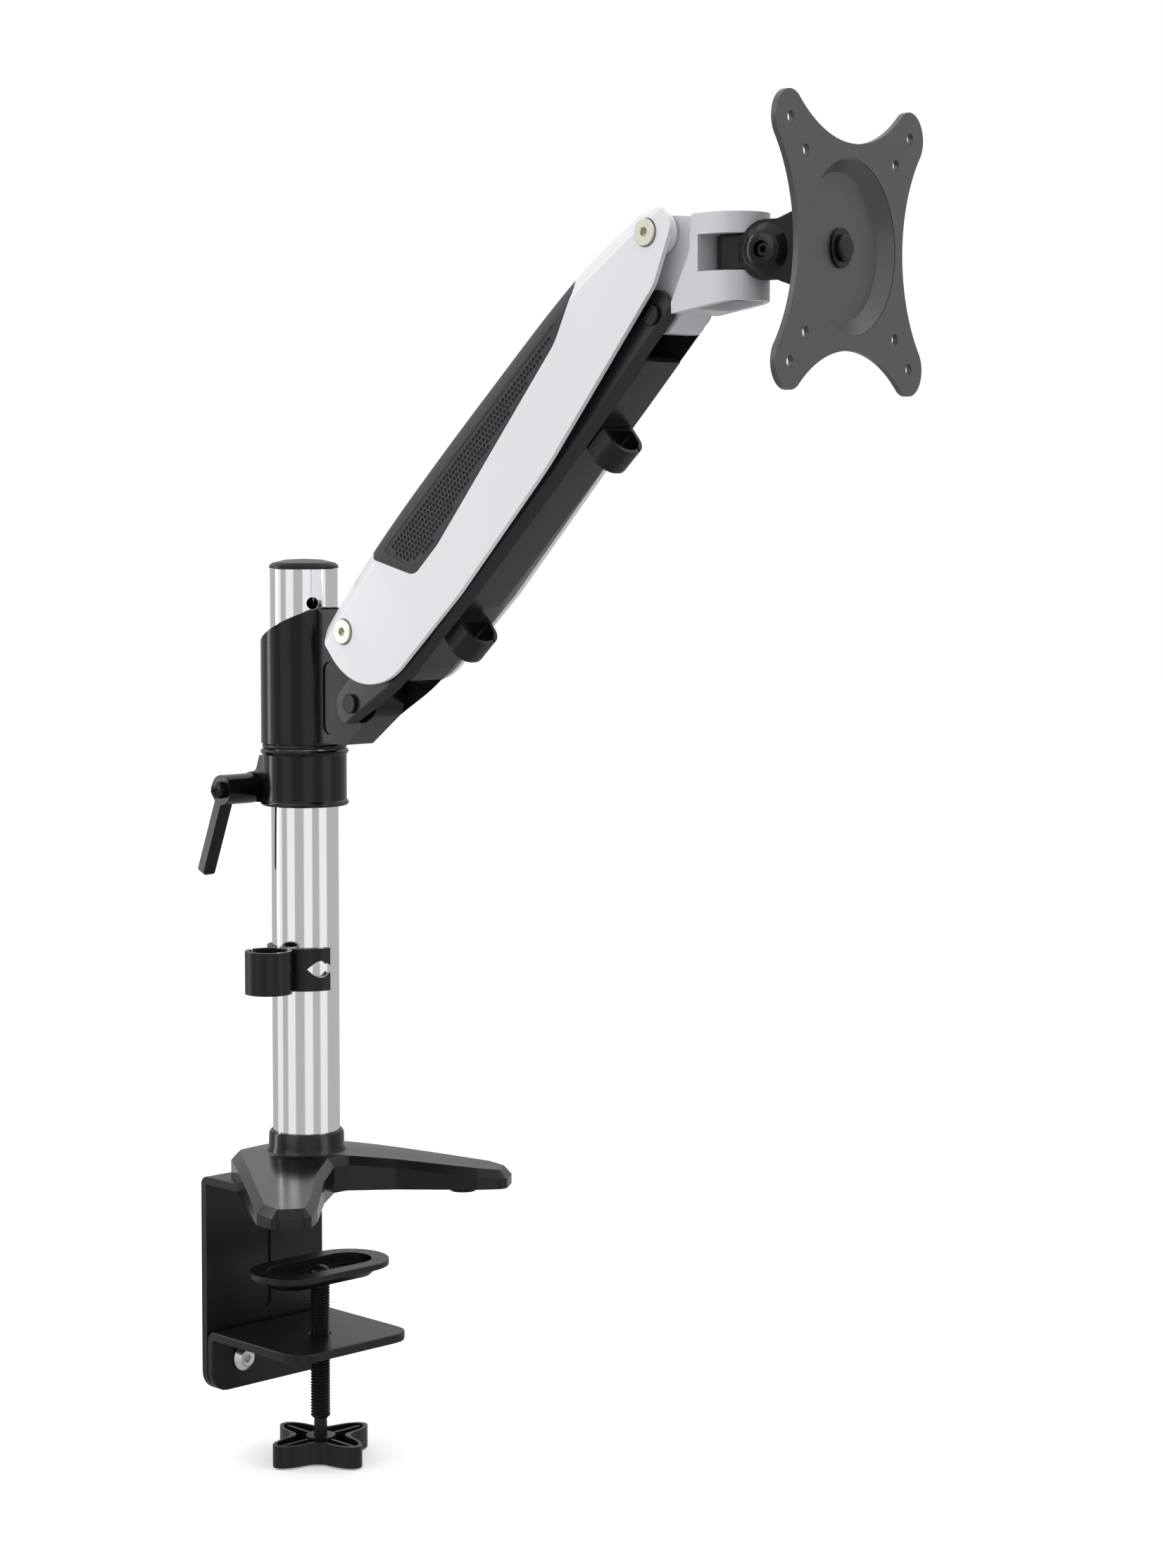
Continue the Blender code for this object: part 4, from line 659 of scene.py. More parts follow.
# ---------------- swivel bracket
def make_bracket():
    """Sleeve on the pole with a tongue for the arm's and the link's lower pivots."""
    sleeve = cylinder(SLEEVE_RADIUS, SLEEVE_BOTTOM, 0.3, ROUND)
    link = SHOULDER + LINK_OFFSET
    side = rounded([(-0.001, SLEEVE_BOTTOM + 0.0012, 0), (0.0425, SLEEVE_BOTTOM + 0.0012, 0.001),
                    (link.x + 0.0135, link.z - 0.004, 0.009),
                    (SHOULDER.x + 0.0105, SHOULDER.z - 0.014, 0.008),
                    (SHOULDER.x + 0.0105, SHOULDER.z + LUG_RADIUS, LUG_RADIUS),
                    (-0.001, SHOULDER.z + LUG_RADIUS, 0)])
    tongue = prism(side, -TONGUE_HALF, TONGUE_HALF, upright=True)
    bracket = join(sleeve, tongue)
    rise = (SLEEVE_HIGH_TOP - SLEEVE_LOW_TOP) / (2 * SLEEVE_RADIUS)
    slope = [(x, SLEEVE_LOW_TOP + rise * (x + SLEEVE_RADIUS)) for x in (-0.04, 0.023)]
    slope += [(0.023, 0.34), (-0.04, 0.34)]
    bore = cylinder(0.0188, 0.2, 0.32, ROUND)
    panel_outline = rounded([(0.025, 0.2326, 0.005), (0.0405, 0.2326, 0.003), (0.0405, 0.269, 0.003),
                             (0.025, 0.269, 0.005)])
    panels = [prism(panel_outline, side_y - 0.0008, side_y + 0.0008, upright=True)
              for side_y in (-TONGUE_HALF, TONGUE_HALF)]
    pivots = [across(PIVOT_RADIUS + GAP, 0.02, SHOULDER),
              across(LINK_PIN_RADIUS + GAP, 0.02, link)]
    throat = [(0.029, 0.2556), (0.08, 0.2556), (0.08, 0.3), (0.062, 0.277), (0.056, 0.275),
              (0.029, 0.275)]
    pocket = prism(throat, -0.0052, 0.0052, upright=True)
    anchor_bore = across(PIN_BORE, 0.02, SHOULDER + ANCHOR)
    bracket = cut(bracket, prism(slope, -0.04, 0.04, upright=True), bore, *panels, *pivots, pocket,
                  anchor_bore)
    screw_way = cylinder(0.0027, 0.274, 0.305, centre=(0.033, 0, 0))
    return cut(bracket, screw_way)


# ---------------- upper arm (frame on its pivot, X along it)
ARM_STATIONS = ((-0.02, 0.0117), (0.000, 0.0148), (0.04, 0.0184), (0.08, 0.02), (0.15, 0.0204),
                (0.225, 0.019), (0.272, 0.0125), (0.292, 0.0088))
ARM_RINGS = 60                                 # cross-sections in a loft


def arm_outline():
    """Side view: a large round heel below the lower pivot, a slim round nose at the head."""
    return [(-0.006, 0.03, 0), (-0.015, 0.004, 0.004), (-0.015, -0.0395, 0.036), (0.075, -0.0402, 0.08),
            (0.16, -0.035, 0.2), (0.262, -0.0205, 0.02), (0.2885, -0.0075, 0.006), (0.2868, 0.0024, 0.003),
            (0.2446, 0.03, 0)]


def profile_height(stations, along):
    """Height at a distance along, on a smooth curve through the stations."""
    for k in range(len(stations) - 1):
        (x0, y0), (x1, y1) = stations[k], stations[k + 1]
        if along <= x1 or k == len(stations) - 2:
            before = stations[max(k - 1, 0)]
            after = stations[min(k + 2, len(stations) - 1)]
            t = (along - x0) / (x1 - x0)
            slope_in = (y1 - before[1]) / (x1 - before[0])
            slope_out = (after[1] - y0) / (after[0] - x0)
            run = x1 - x0
            return (y0 * (1 + 2 * t) * (1 - t) ** 2 + run * slope_in * t * (1 - t) ** 2
                    + y1 * t * t * (3 - 2 * t) + run * slope_out * t * t * (t - 1))


def arm_skin(inset):
    """Loft of the arm's cross-section: upright sides, slanted shoulders, flat top, soft creases."""
    rings = []
    half = ARM_HALF - inset
    flat = ARM_FLAT_HALF - inset * 0.35
    first, last = ARM_STATIONS[0][0], ARM_STATIONS[-1][0]
    for step in range(ARM_RINGS + 1):
        along = first + (last - first) * step / ARM_RINGS
        height = profile_height(ARM_STATIONS, along) - inset
        crease = height - ARM_SHOULDER + inset * 0.3
        section = rounded([(-half, -0.06, 0), (-half, crease, 0.006), (-flat, height, 0.003),
                           (flat, height, 0.003),
                           (half, crease, 0.006), (half, -0.06, 0)], math.radians(7.3))
        rings.append([(along, y, z) for y, z in section])
    return lofted(rings)


def inlay_prism(grow):
    """Side view of the textured inlay: deep near the pole, tapering to the top at the head."""
    outline = rounded([(0.033 - grow, 0.04, 0), (0.04 - grow, 0.0125, 0.004),
                       (0.058 - grow, -0.013 - grow, 0.008), (0.08, -0.0128 - grow, 0.01),
                       (0.2, 0.0035 - grow, 0.03), (0.223 + grow, 0.013 - grow, 0.004),
                       (0.233 + grow, 0.04, 0)])
    return prism(outline, -0.04, 0.04, upright=True)


def make_upper_arm():
    skin = common(arm_skin(0.0), prism(rounded(arm_outline(), math.radians(5)), -0.04, 0.04, upright=True))
    pocket = cut(inlay_prism(GAP), arm_skin(0.0014))
    bosses = [cylinder(AXLE_BOSS_RADIUS, *sorted((side * AXLE_BOSS_FACE, side * 0.026)), axis="Y",
                       centre=(along, 0, 0))
              for along in (0.0, ARM_LENGTH) for side in (-1, 1)]
    bosses += [cylinder(0.007, *sorted((side * 0.0112, side * 0.026)), axis="Y",
                        centre=(SPRING_ALONG, 0, SPRING_DROP)) for side in (-1, 1)]
    # the bosses are left standing where the hollow goes round them
    hollow = cut(arm_skin(ARM_WALL), *bosses)
    arm = cut(skin, pocket, hollow)
    bores = [across(PIVOT_RADIUS + GAP, 0.03, (along, 0, 0))
             for along in (0.0, ARM_LENGTH)]
    seats = []
    for along in (0.0, ARM_LENGTH):
        for side in (-1, 1):
            low, high = sorted((side * (ARM_HALF - 0.0022), side * 0.03))
            seats.append(cylinder(0.0065, low, high, axis="Y", centre=(along, 0, 0)))
    pin = across(PIN_BORE, 0.019, (SPRING_ALONG, 0, SPRING_DROP))
    half = 0.0102
    notches = [box((-0.05, -half, -0.06), (0.003, half, 0.05)),
               box((ARM_LENGTH - 0.007, -half, -0.06), (0.32, half, 0.05))]
    return cut(arm, *bores, *seats, pin, *notches)


GRAIN_PITCH = 0.0027
GRAIN_RADIUS = 0.00098
GRAIN_DEPTH = 0.00075
GRAIN_MARGIN = 0.0012                          # from a dimple's centre to the panel's edge, at least
PANEL_DEPTH = 0.00018
GRAIN_ROWS = (-6, 6)
GRAIN_COLUMNS = (16, 80)
GRAIN_PANEL = [(0.0492, 0.01, 0.001), (0.057, -0.0062, 0.005), (0.069, -0.0112, 0.003), (0.08, -0.0106, 0.01),
               (0.125, -0.0052, 0.02), (0.168, -0.0002, 0.03), (0.2, 0.005, 0.004), (0.209, 0.01, 0.001)]


def inside(outline, x, z):
    """Whether a point lies within a closed outline."""
    crossings = 0
    for (x0, z0), (x1, z1) in zip(outline, outline[1:] + outline[:1]):
        if (z0 > z) != (z1 > z) and x < x0 + (x1 - x0) * (z - z0) / (z1 - z0):
            crossings += 1
    return crossings % 2 == 1


def grain_cutter(depth):
    """Rows of small round dimples on both flanks, staggered like a honeycomb."""
    outline = [(point[0], point[1]) for point in rounded(GRAIN_PANEL)]
    middle = Vector((0.128, 0.0))
    allowed = [middle + (Vector(point) - middle) * 0.985 for point in outline]
    margin = [(point.x, point.y) for point in allowed]
    surface = ARM_HALF - depth
    lens = turned([(0, 0.0006), (GRAIN_RADIUS * 1.15, 0.0006), (GRAIN_RADIUS, 0.00002),
                   (GRAIN_RADIUS * 0.9, -GRAIN_DEPTH * 0.6), (GRAIN_RADIUS * 0.55, -GRAIN_DEPTH * 0.92),
                   (0, -GRAIN_DEPTH)], 14)
    cage = bmesh.new()
    row_height = GRAIN_PITCH * math.sqrt(0.75)
    for row in range(*GRAIN_ROWS):
        for column in range(*GRAIN_COLUMNS):
            x = GRAIN_PITCH * (column + 0.5 * (row % 2))
            z = row_height * row
            around = ((GRAIN_MARGIN, 0), (-GRAIN_MARGIN, 0), (0, GRAIN_MARGIN), (0, -GRAIN_MARGIN))
            if not all(inside(margin, x + dx, z + dz) for dx, dz in around):
                continue
            for side in (-1, 1):
                before = len(cage.verts)
                cage.from_mesh(lens)
                cage.verts.ensure_lookup_table()
                place = Matrix.Translation((x, side * surface, z)) @ Matrix.Rotation(-side * math.pi / 2, 4,
                                                                                     "X")
                bmesh.ops.transform(cage, matrix=place, verts=cage.verts[before:])
    return closed(cage)


def make_inlay():
    shell = common(arm_skin(0.0), inlay_prism(0.0))
    shell = cut(shell, arm_skin(0.0011))
    panel = rounded(GRAIN_PANEL)
    sides = [prism(panel, *sorted((side * (ARM_HALF - PANEL_DEPTH), side * 0.03)),
                   upright=True) for side in (-1, 1)]
    return cut(shell, *sides, grain_cutter(PANEL_DEPTH))


def make_pivot_screw():
    """Low-head socket screw along -Z; its head stands 1.2 mm out of the arm's side."""
    head = turned([(0, 0.0012), (0.0058, 0.0012), (0.0061, 0.0009), (0.0061, -0.0019), (0.0026, -0.0019),
                   (0.0026, -0.0105), (0, -0.0105)], FINE)
    return cut(head, cylinder(0.0023, -0.0008, 0.002, 6))


def make_washer(radius, bore, low, high):
    return turned([(bore, high), (radius, high), (radius, low), (bore, low)], ring=True)


# ---------------- lower link (frame on its pivot)
LINK_STATIONS = ((-0.02, -0.008), (0.002, -0.0112), (0.038, -0.017), (0.12, -0.0161), (0.208, -0.0132),
                 (0.256, -0.0109), (0.3, -0.0085))
LINK_CHAMFER = 0.0045
LINK_WEB_HALF = 0.0105


def link_outline():
    return [(-0.0108, 0.0098, 0.0095), (-0.0108, -0.007, 0.009), (0.037, -0.0173, 0.012),
            (0.12, -0.0166, 0.2),
            (0.208, -0.0137, 0.2), (ARM_LENGTH + 0.0112, -0.0098, 0.0095),
            (ARM_LENGTH + 0.0112, LINK_TOP, 0.0095)]


def link_skin():
    """Loft of the link's cross-section: upright sides, wide chamfers down to a narrow underside."""
    rings = []
    first, last = LINK_STATIONS[0][0], LINK_STATIONS[-1][0]
    for step in range(ARM_RINGS + 1):
        along = first + (last - first) * step / ARM_RINGS
        under = profile_height(LINK_STATIONS, along)
        chamfer = under + LINK_CHAMFER
        section = rounded([(-LINK_HALF, 0.03, 0), (-LINK_HALF, chamfer, 0.003),
                           (-LINK_WEB_HALF, under, 0.0006),
                           (LINK_WEB_HALF, under, 0.0006), (LINK_HALF, chamfer, 0.003), (LINK_HALF, 0.03, 0)],
                          math.radians(7.3))
        rings.append([(along, y, z) for y, z in section])
    return lofted(rings)


def make_link():
    """Channel with round ends, open towards the arm, its web along the underside."""
    solid = prism(rounded(link_outline(), math.radians(5)), -0.03, 0.03, upright=True)
    solid = common(solid, link_skin())
    inner = LINK_HALF - LINK_WALL
    # open above the web, and right through between the fork's two sides at each end
    space = rounded([(-0.03, 0.03, 0), (-0.03, -0.05, 0), (0.0385, -0.05, 0), (0.0385, -0.0143, 0),
                     (0.12, -0.0134, 0.2), (0.208, -0.0105, 0.2), (0.2555, -0.0081, 0), (0.2555, -0.05, 0),
                     (0.31, -0.05, 0), (0.31, 0.03, 0)])
    link = cut(solid, prism(space, -inner, inner, upright=True))
    bores = [across(LINK_PIN_RADIUS + GAP, 0.02, (along, 0, 0))
             for along in (0.0, ARM_LENGTH)]
    return cut(link, *bores)


def make_link_pin():
    """Pin across the link with a low round head at each side."""
    head = LINK_HALF + GAP
    profile = [(0, head + 0.0016), (0.0044, head + 0.0016), (0.0048, head + 0.0012), (0.0048, head),
               (LINK_PIN_RADIUS, head), (LINK_PIN_RADIUS, -head), (0.0048, -head), (0.0048, -head - 0.0012),
               (0.0044, -head - 0.0016), (0, -head - 0.0016)]
    return moved(turned(profile, FINE), turn=-math.pi / 2, axis="X")


def make_link_clip():
    """Strap loop that hangs from the link's web and holds cables along it."""
    outer = mirrored([(-0.0095, 0.0, 0), (-0.0095, -0.0148, 0.0086)])
    inner = mirrored([(-0.0078, -0.0016, 0.001), (-0.0078, -0.0131, 0.0072)])
    loop = prism(outer, -0.007, 0.007, upright=True, holes=[inner])
    loop.transform(Matrix.Rotation(math.pi / 2, 4, "Z"))
    return cut(loop, box((-0.02, 0.004, -0.03), (0.02, 0.0052, -0.009)))


# ---------------- gas spring (frame on its arm pin, -X to the pole)
SPRING_ALONG = 0.212
SPRING_DROP = -0.004
ANCHOR = Vector((0.004, 0.0, -0.02))        # from the shoulder pivot to the spring's lower pin
SPRING_RADIUS = 0.0085
ROD_RADIUS = 0.004


def spring_aim():
    """Length and direction of the gas spring in the arm's own frame at rest."""
    lower = Matrix.Rotation(ARM_LIFT, 3, "Y") @ ANCHOR
    run = lower - Vector((SPRING_ALONG, 0.0, SPRING_DROP))
    return run.length, math.atan2(run.z, -run.x)


def make_spring_body():
    tube = moved(turned([(0, 0.0), (0.006, 0.0), (SPRING_RADIUS, -0.002), (SPRING_RADIUS, -0.118),
                         (0.0065, -0.12), (ROD_RADIUS + GAP, -0.12), (ROD_RADIUS + GAP, -0.03), (0, -0.03)],
                        ROUND), turn=math.pi / 2, axis="Y")
    tube = moved(tube, offset=(-0.012, 0, 0))
    eye = join(across(0.0062, 0.0045), box((-0.0138, -0.0045, -0.0037), (0.0, 0.0045, 0.0037)))
    return cut(join(tube, eye), across(0.0033, 0.01))


def make_spring_rod(length):
    """Rod whose eye is slotted across, because the modelled spring doesn't swing with its lower pin."""
    rod = cylinder(ROD_RADIUS, -(length - 0.008), -0.08, FINE, axis="X")
    swing = 0.0036

    def slot(radius, half):
        left, right, turn = -length - radius, -length + radius, radius * 0.999
        outline = rounded([(left, radius, turn), (left, -swing - radius, turn),
                           (right, -swing - radius, turn),
                           (right, radius, turn)], math.radians(5))
        return prism(outline, -half, half, upright=True)

    eye = join(slot(0.0054, 0.0042), box((-length, -0.0042, -0.004), (-length + 0.014, 0.0042, 0.004)))
    return cut(join(rod, eye), slot(0.0034, 0.01))


# ---------------- head
def make_head():
    """Casting that hangs on the arm and the link and carries the vertical swivel pin."""
    low, high = HEAD_BOTTOM, HEAD_TOP
    block_plan = rounded([(0.002, -HEAD_RADIUS, 0),
                          (HEAD_REACH + HEAD_RADIUS, -HEAD_RADIUS, HEAD_RADIUS - 0.0001),
                          (HEAD_REACH + HEAD_RADIUS, HEAD_RADIUS, HEAD_RADIUS - 0.0001),
                          (0.002, HEAD_RADIUS, 0)],
                         math.radians(5))
    block = prism(block_plan, -0.04, high)
    side = rounded([(0.0224, high, 0.002), (0.07, high, 0), (0.07, low, 0), (0.044, low, 0.03),
                    (0.0108, -0.0356, 0), (0.0106, -0.0306, 0.002), (0.0215, -0.0095, 0.01)])
    block = common(block, prism(side, -0.03, 0.03, upright=True))
    web_half = 0.0092
    link_x, link_z = LINK_OFFSET.x, LINK_OFFSET.z
    web_side = rounded([(-0.0088, 0.0088, 0.0086), (0.024, 0.006, 0.001), (0.03, -0.015, 0),
                        (0.016, -0.031, 0),
                        (link_x + 0.007, link_z - 0.0085, 0.006), (link_x - 0.0085, link_z - 0.0085, 0.0085),
                        (link_x - 0.0085, link_z + 0.006, 0.005), (-0.0088, -0.01, 0.0086)])
    web = prism(web_side, -web_half, web_half, upright=True)
    head = join(block, web)
    head = softened(head, 0.001)
    window_low = WINDOW_CENTRE - WINDOW_HEIGHT / 2
    window = box((HEAD_REACH - 0.0084, -0.03, window_low), (0.08, 0.03, window_low + WINDOW_HEIGHT))
    pin = cylinder(0.0053, -0.06, 0.03, axis="Z", centre=(HEAD_REACH, 0, 0))
    sink = cylinder(0.0078, high - 0.0035, 0.03, 24, centre=(HEAD_REACH, 0, 0))
    recess = rounded([(HEAD_REACH - 0.013, -0.011, 0.002), (HEAD_REACH + 0.01, -0.011, 0.006),
                      (HEAD_REACH + 0.01, 0.011, 0.006), (HEAD_REACH - 0.013, 0.011, 0.002)])
    under = prism(recess, -0.05, low + 0.0045)
    bores = [across(PIVOT_RADIUS + GAP, 0.02),
             across(LINK_PIN_RADIUS + GAP, 0.02, LINK_OFFSET)]
    return cut(head, window, pin, sink, under, *bores)


def make_swivel_pin():
    """Shouldered pin: head in the casting's top recess, locked by a nut under it."""
    profile = [(0, HEAD_TOP - 0.0006), (0.007, HEAD_TOP - 0.0006), (0.0074, HEAD_TOP - 0.001),
               (0.0074, HEAD_TOP - 0.0032), (0.005, HEAD_TOP - 0.0032), (0.005, HEAD_BOTTOM + 0.0005),
               (0, HEAD_BOTTOM + 0.0005)]
    return cut(turned(profile, FINE), cylinder(0.003, HEAD_TOP - 0.003, HEAD_TOP + 0.001, 6))


def make_tongue():
    """Flat bar between the swivel pin and the tilt bolt, built about the swivel axis."""
    half_height = WINDOW_HEIGHT / 2 - 0.0008
    low, high = WINDOW_CENTRE - half_height, WINDOW_CENTRE + half_height
    plan = rounded([(-0.0078, -0.0082, 0.0077), (0.02, -0.0082, 0), (0.02, 0.0082, 0),
                    (-0.0078, 0.0082, 0.0077)])
    bar = prism(plan, low, high)
    eye = across(half_height, 0.0082, (TILT_REACH, 0, WINDOW_CENTRE))
    bar = join(bar, eye)
    marks = []
    for side in (-0.0082, 0.0082):
        outer = moved(prism(stadium(0.0105, 0.0048), side - 0.0004, side + 0.0004), turn=math.pi / 2,
                      axis="X")
        inner = moved(prism(stadium(0.0085, 0.0028), side - 0.001, side + 0.001), turn=math.pi / 2, axis="X")
        marks.append(moved(cut(outer, inner), offset=(0.0095, 0, WINDOW_CENTRE)))
    pin = cylinder(0.0053, -0.05, 0.03)
    bolt = across(0.0033, 0.02, (TILT_REACH, 0, WINDOW_CENTRE))
    return cut(bar, pin, bolt, *marks)


def make_yoke():
    """Tilt bracket: two teardrop cheeks with raised cones, joined by a round back plate."""
    wall, inner = 0.0022, 0.0094
    reach = PLATE_REACH - TILT_REACH
    back = reach - PLATE_THICK - DISH_DEPTH - GAP
    cheek = rounded([(-0.013, -0.013, 0.0128), (0.006, -0.013, 0.004), (back - 0.001, -0.0205, 0),
                     (back - 0.001, 0.0205, 0), (0.006, 0.013, 0.004), (-0.013, 0.013, 0.0128)],
                    math.radians(5))
    solid = prism(cheek, -(inner + wall), inner + wall, upright=True)
    space = box((-0.03, -inner, -0.03), (back - 0.0035, inner, 0.03))
    yoke = cut(solid, space)
    cones = []
    for side in (-1, 1):
        cone = turned([(0, 0.0044), (0.0056, 0.0044), (0.007, 0.004), (0.0084, 0.0031), (0.01, 0.0016),
                       (0.0118, 0.0), (0, 0.0)], ROUND)
        cones.append(moved(cone, offset=(0, side * (inner + wall - 0.0004), 0), turn=-side * math.pi / 2,
                           axis="X"))
    disc = cylinder(0.022, back - 0.003, back, 32, axis="X")
    yoke = join(yoke, *cones, disc)
    bolt = across(0.0037, 0.03)
    spindle = cylinder(0.0043, back - 0.01, back + 0.01, axis="X")
    return cut(yoke, bolt, spindle)


def make_tilt_bolt():
    half = 0.0136
    bar = across(0.003, half)
    return cut(bar, cylinder(0.0016, -half - 0.001, -half + 0.003, 6, axis="Y"))


# ---------------- screen plate (frame on its spindle, X out)
def plate_outline():
    """Square with round corner lobes and sides drawn in by shallow arcs."""
    corner = VESA_LARGE / 2
    depth = 0.0437
    reach = corner - PLATE_LOBE * math.sin(math.radians(35))
    rise = corner + PLATE_LOBE * math.cos(math.radians(35)) - depth
    bow = (reach ** 2 + rise ** 2) / (2 * rise)
    points = []
    for quarter in range(4):
        turn = Matrix.Rotation(quarter * math.pi / 2, 2)
        side_angle = math.asin(reach / bow)
        for k in range(31):
            angle = -side_angle + 2 * side_angle * k / 30
            points.append(turn @ Vector((depth + bow * (1 - math.cos(angle)), bow * math.sin(angle))))
        for k in range(1, 32):
            angle = math.radians(-35 + 160 * k / 32)
            points.append(turn @ Vector((corner + PLATE_LOBE * math.cos(angle),
                                         corner + PLATE_LOBE * math.sin(angle))))
    return points


def make_vesa_plate():
    """Pressed steel plate with both screw patterns and a round dish towards the arm."""
    holes = [circle(VESA_HOLE, (x * size / 2, y * size / 2), 32)
             for size in (VESA_LARGE, VESA_SMALL) for x in (-1, 1) for y in (-1, 1)]
    flat = prism(plate_outline(), -PLATE_THICK, 0.0, holes=holes)
    flat = cut(flat, cylinder(DISH_RADIUS - 0.001, -0.01, 0.01, ROUND))
    dish = turned([(0.0043, -DISH_DEPTH), (DISH_FLOOR, -DISH_DEPTH), (DISH_RADIUS - 0.0014, -0.0003),
                   (DISH_RADIUS + 0.0006, -0.0003), (DISH_RADIUS + 0.0006, -PLATE_THICK + 0.0004),
                   (DISH_FLOOR + 0.0008, -DISH_DEPTH - PLATE_THICK), (0.0043, -DISH_DEPTH - PLATE_THICK)],
                  ROUND, ring=True)
    plate = join(flat, dish)
    return moved(plate, turn=math.pi / 2, axis="Y")


def make_spindle():
    """Riveted stud that the screen plate turns on, along X."""
    floor = -DISH_DEPTH
    profile = [(0, floor + 0.0045), (0.0048, floor + 0.0042), (0.0058, floor + 0.0032),
               (0.0058, floor + 0.0018),
               (0.004, floor + 0.0018), (0.004, floor - 0.0066), (0.0062, floor - 0.0066),
               (0.0062, floor - 0.0084), (0.005, floor - 0.0092), (0, floor - 0.0092)]
    return moved(turned(profile, FINE), turn=math.pi / 2, axis="Y")


# ---------------- finishes, one for each material slot
WHITE = make_material("white_gloss_paint", (0.82, 0.83, 0.85), 0.24, bump=0.03, sheen=0.45), "white_paint"
PALE = make_material("pale_casting", (0.66, 0.67, 0.7), 0.3, bump=0.05), "pale_casting"
BLACK = make_material("gloss_black", (0.004, 0.004, 0.0045), 0.17, bump=0.05, sheen=0.35), "black_paint"
COATED = make_material("powder_coat", (0.006, 0.006, 0.0065), 0.34, bump=0.12, grain=1400,
                       sheen=0.35), "black_coat"
DARK = make_material("satin_black", (0.016, 0.016, 0.017), 0.26, bump=0.04, sheen=0.5), "black_paint"
SATIN = make_material("satin_grey", (0.052, 0.052, 0.054), 0.34, bump=0.08, grain=1400,
                      sheen=0.9), "grey_coat"
PLASTIC = make_material("moulded_plastic", (0.006, 0.006, 0.0065), 0.3, bump=0.08,
                        sheen=0.35), "black_plastic"
INLAY = make_material("inlay_plastic", (0.02, 0.02, 0.021), 0.42, bump=0.1, sheen=0.35), "inlay"
CHROME = make_material("chrome_plate", (0.86, 0.87, 0.88), 0.05, 1.0, bump=0.01, spread=0.015), "chrome"
NICKEL = make_material("nickel_plate", (0.66, 0.64, 0.54), 0.26, 1.0, bump=0.04), "nickel"
ZINC = make_material("zinc_plate", (0.8, 0.8, 0.82), 0.26, 1.0, bump=0.05), "zinc"
RUBBER = make_material("black_rubber", (0.012, 0.012, 0.012), 0.8, bump=0.3), "rubber"
NYLON = make_material("natural_nylon", (0.55, 0.55, 0.52), 0.5, bump=0.08), "nylon"


# ---------------- the object
screw_place = Matrix.Translation((SCREW_X, 0, 0))
ROOT = "desk_clamp"
add_piece("base", make_base(), BLACK, ROOT, bevel=0.0006, stands_for="desk_base")
for side in ("left", "right", "rear"):
    spot = centre("base_pad_" + side)
    low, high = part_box("base_pad_" + side)
    pad = turned([(0, high[2]), (0.0066, high[2]), (0.0068, high[2] - 0.0002), (0.0064, low[2]), (0, low[2])],
                 FINE)
    add_piece("pad_" + side, pad, RUBBER, ROOT, Matrix.Translation((spot.x, spot.y, 0)), 0,
              "base_pad_" + side)
add_piece("back_plate", make_back_plate(), COATED, ROOT, bevel=0.0005, stands_for="clamp_back_plate")
add_piece("jaw", make_jaw(), COATED, ROOT, bevel=0.0005, stands_for="clamp_jaw")
for side in ("left", "right"):
    low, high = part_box("jaw_screw_" + side)
    spot = centre("jaw_screw_" + side)
    place = Matrix.Translation((high[0] - 0.0038, spot.y, spot.z)) @ Matrix.Rotation(math.pi / 2, 4, "Y")
    add_piece("jaw_bolt_" + side, button_screw(0.0068, 0.0038, 0.0032, 0.007, 0.0022), ZINC, ROOT, place,
              0.0002,
              "jaw_screw_" + side)
add_piece("chrome_pole", make_pole(), CHROME, ROOT, bevel=0.0003, stands_for="pole")
add_piece("cap", make_pole_cap(), PLASTIC, ROOT, bevel=0, stands_for="pole_cap")

add_piece("foot_plate", make_pressure_plate(), COATED, "pressure_foot", screw_place, 0.0005, "pressure_plate")
add_piece("screw", make_clamp_screw(), COATED, "clamp_spindle", screw_place, 0, "clamp_screw")
add_piece("knob", make_knob(), PLASTIC, "clamp_spindle", screw_place, 0.0005, "clamp_knob")

add_piece("pole_clip", make_pole_clip(), PLASTIC, "cable_clip", Matrix.Rotation(CLIP_YAW, 4, "Z"), 0.0003,
          "pole_cable_clip")
add_piece("collar", make_collar(), BLACK, "collar", bevel=0.0004, stands_for="height_collar")
lever_place = Matrix.Translation(LEVER_POINT)
add_piece("lever", make_lever(), BLACK, "lever", lever_place, 0.0004, "clamp_lever")
screw_turn = Matrix.Translation((0, -0.0325, 0)) @ Matrix.Rotation(math.pi / 2, 4, "X")
add_piece("lever_cap_screw", make_lever_screw(), BLACK, "lever", lever_place @ screw_turn, 0.0001,
          "lever_screw")
ring = turned([(0.0175, 0.2266), (0.021, 0.2266), (0.0214, 0.2255), (0.021, 0.2244), (0.0175, 0.2244)],
              ring=True)
add_piece("ring", ring, PLASTIC, "collar", bevel=0.0002, stands_for="spacer_ring")

add_piece("bracket", make_bracket(), BLACK, "swivel_bracket", bevel=0.0006, stands_for="arm_bracket")

arm_place = Matrix.Translation(SHOULDER) @ Matrix.Rotation(-ARM_LIFT, 4, "Y")
add_piece("cover", make_upper_arm(), WHITE, "arm", arm_place, 0.0008, "upper_arm", 3)
add_piece("inlay", make_inlay(), INLAY, "arm", arm_place, 0, "arm_inlay")
for end, along in (("pole", 0.0), ("head", ARM_LENGTH)):
    for label, side in (("near", -1), ("far", 1)):
        place = Matrix.Translation((along, side * ARM_HALF, 0)) @ Matrix.Rotation(-side * math.pi / 2, 4, "X")
        add_piece("arm_screw_" + end + "_" + label, make_pivot_screw(), NICKEL, "arm", arm_place @ place,
                  0.0001,
                  "pivot_screw_" + end + "_" + label)

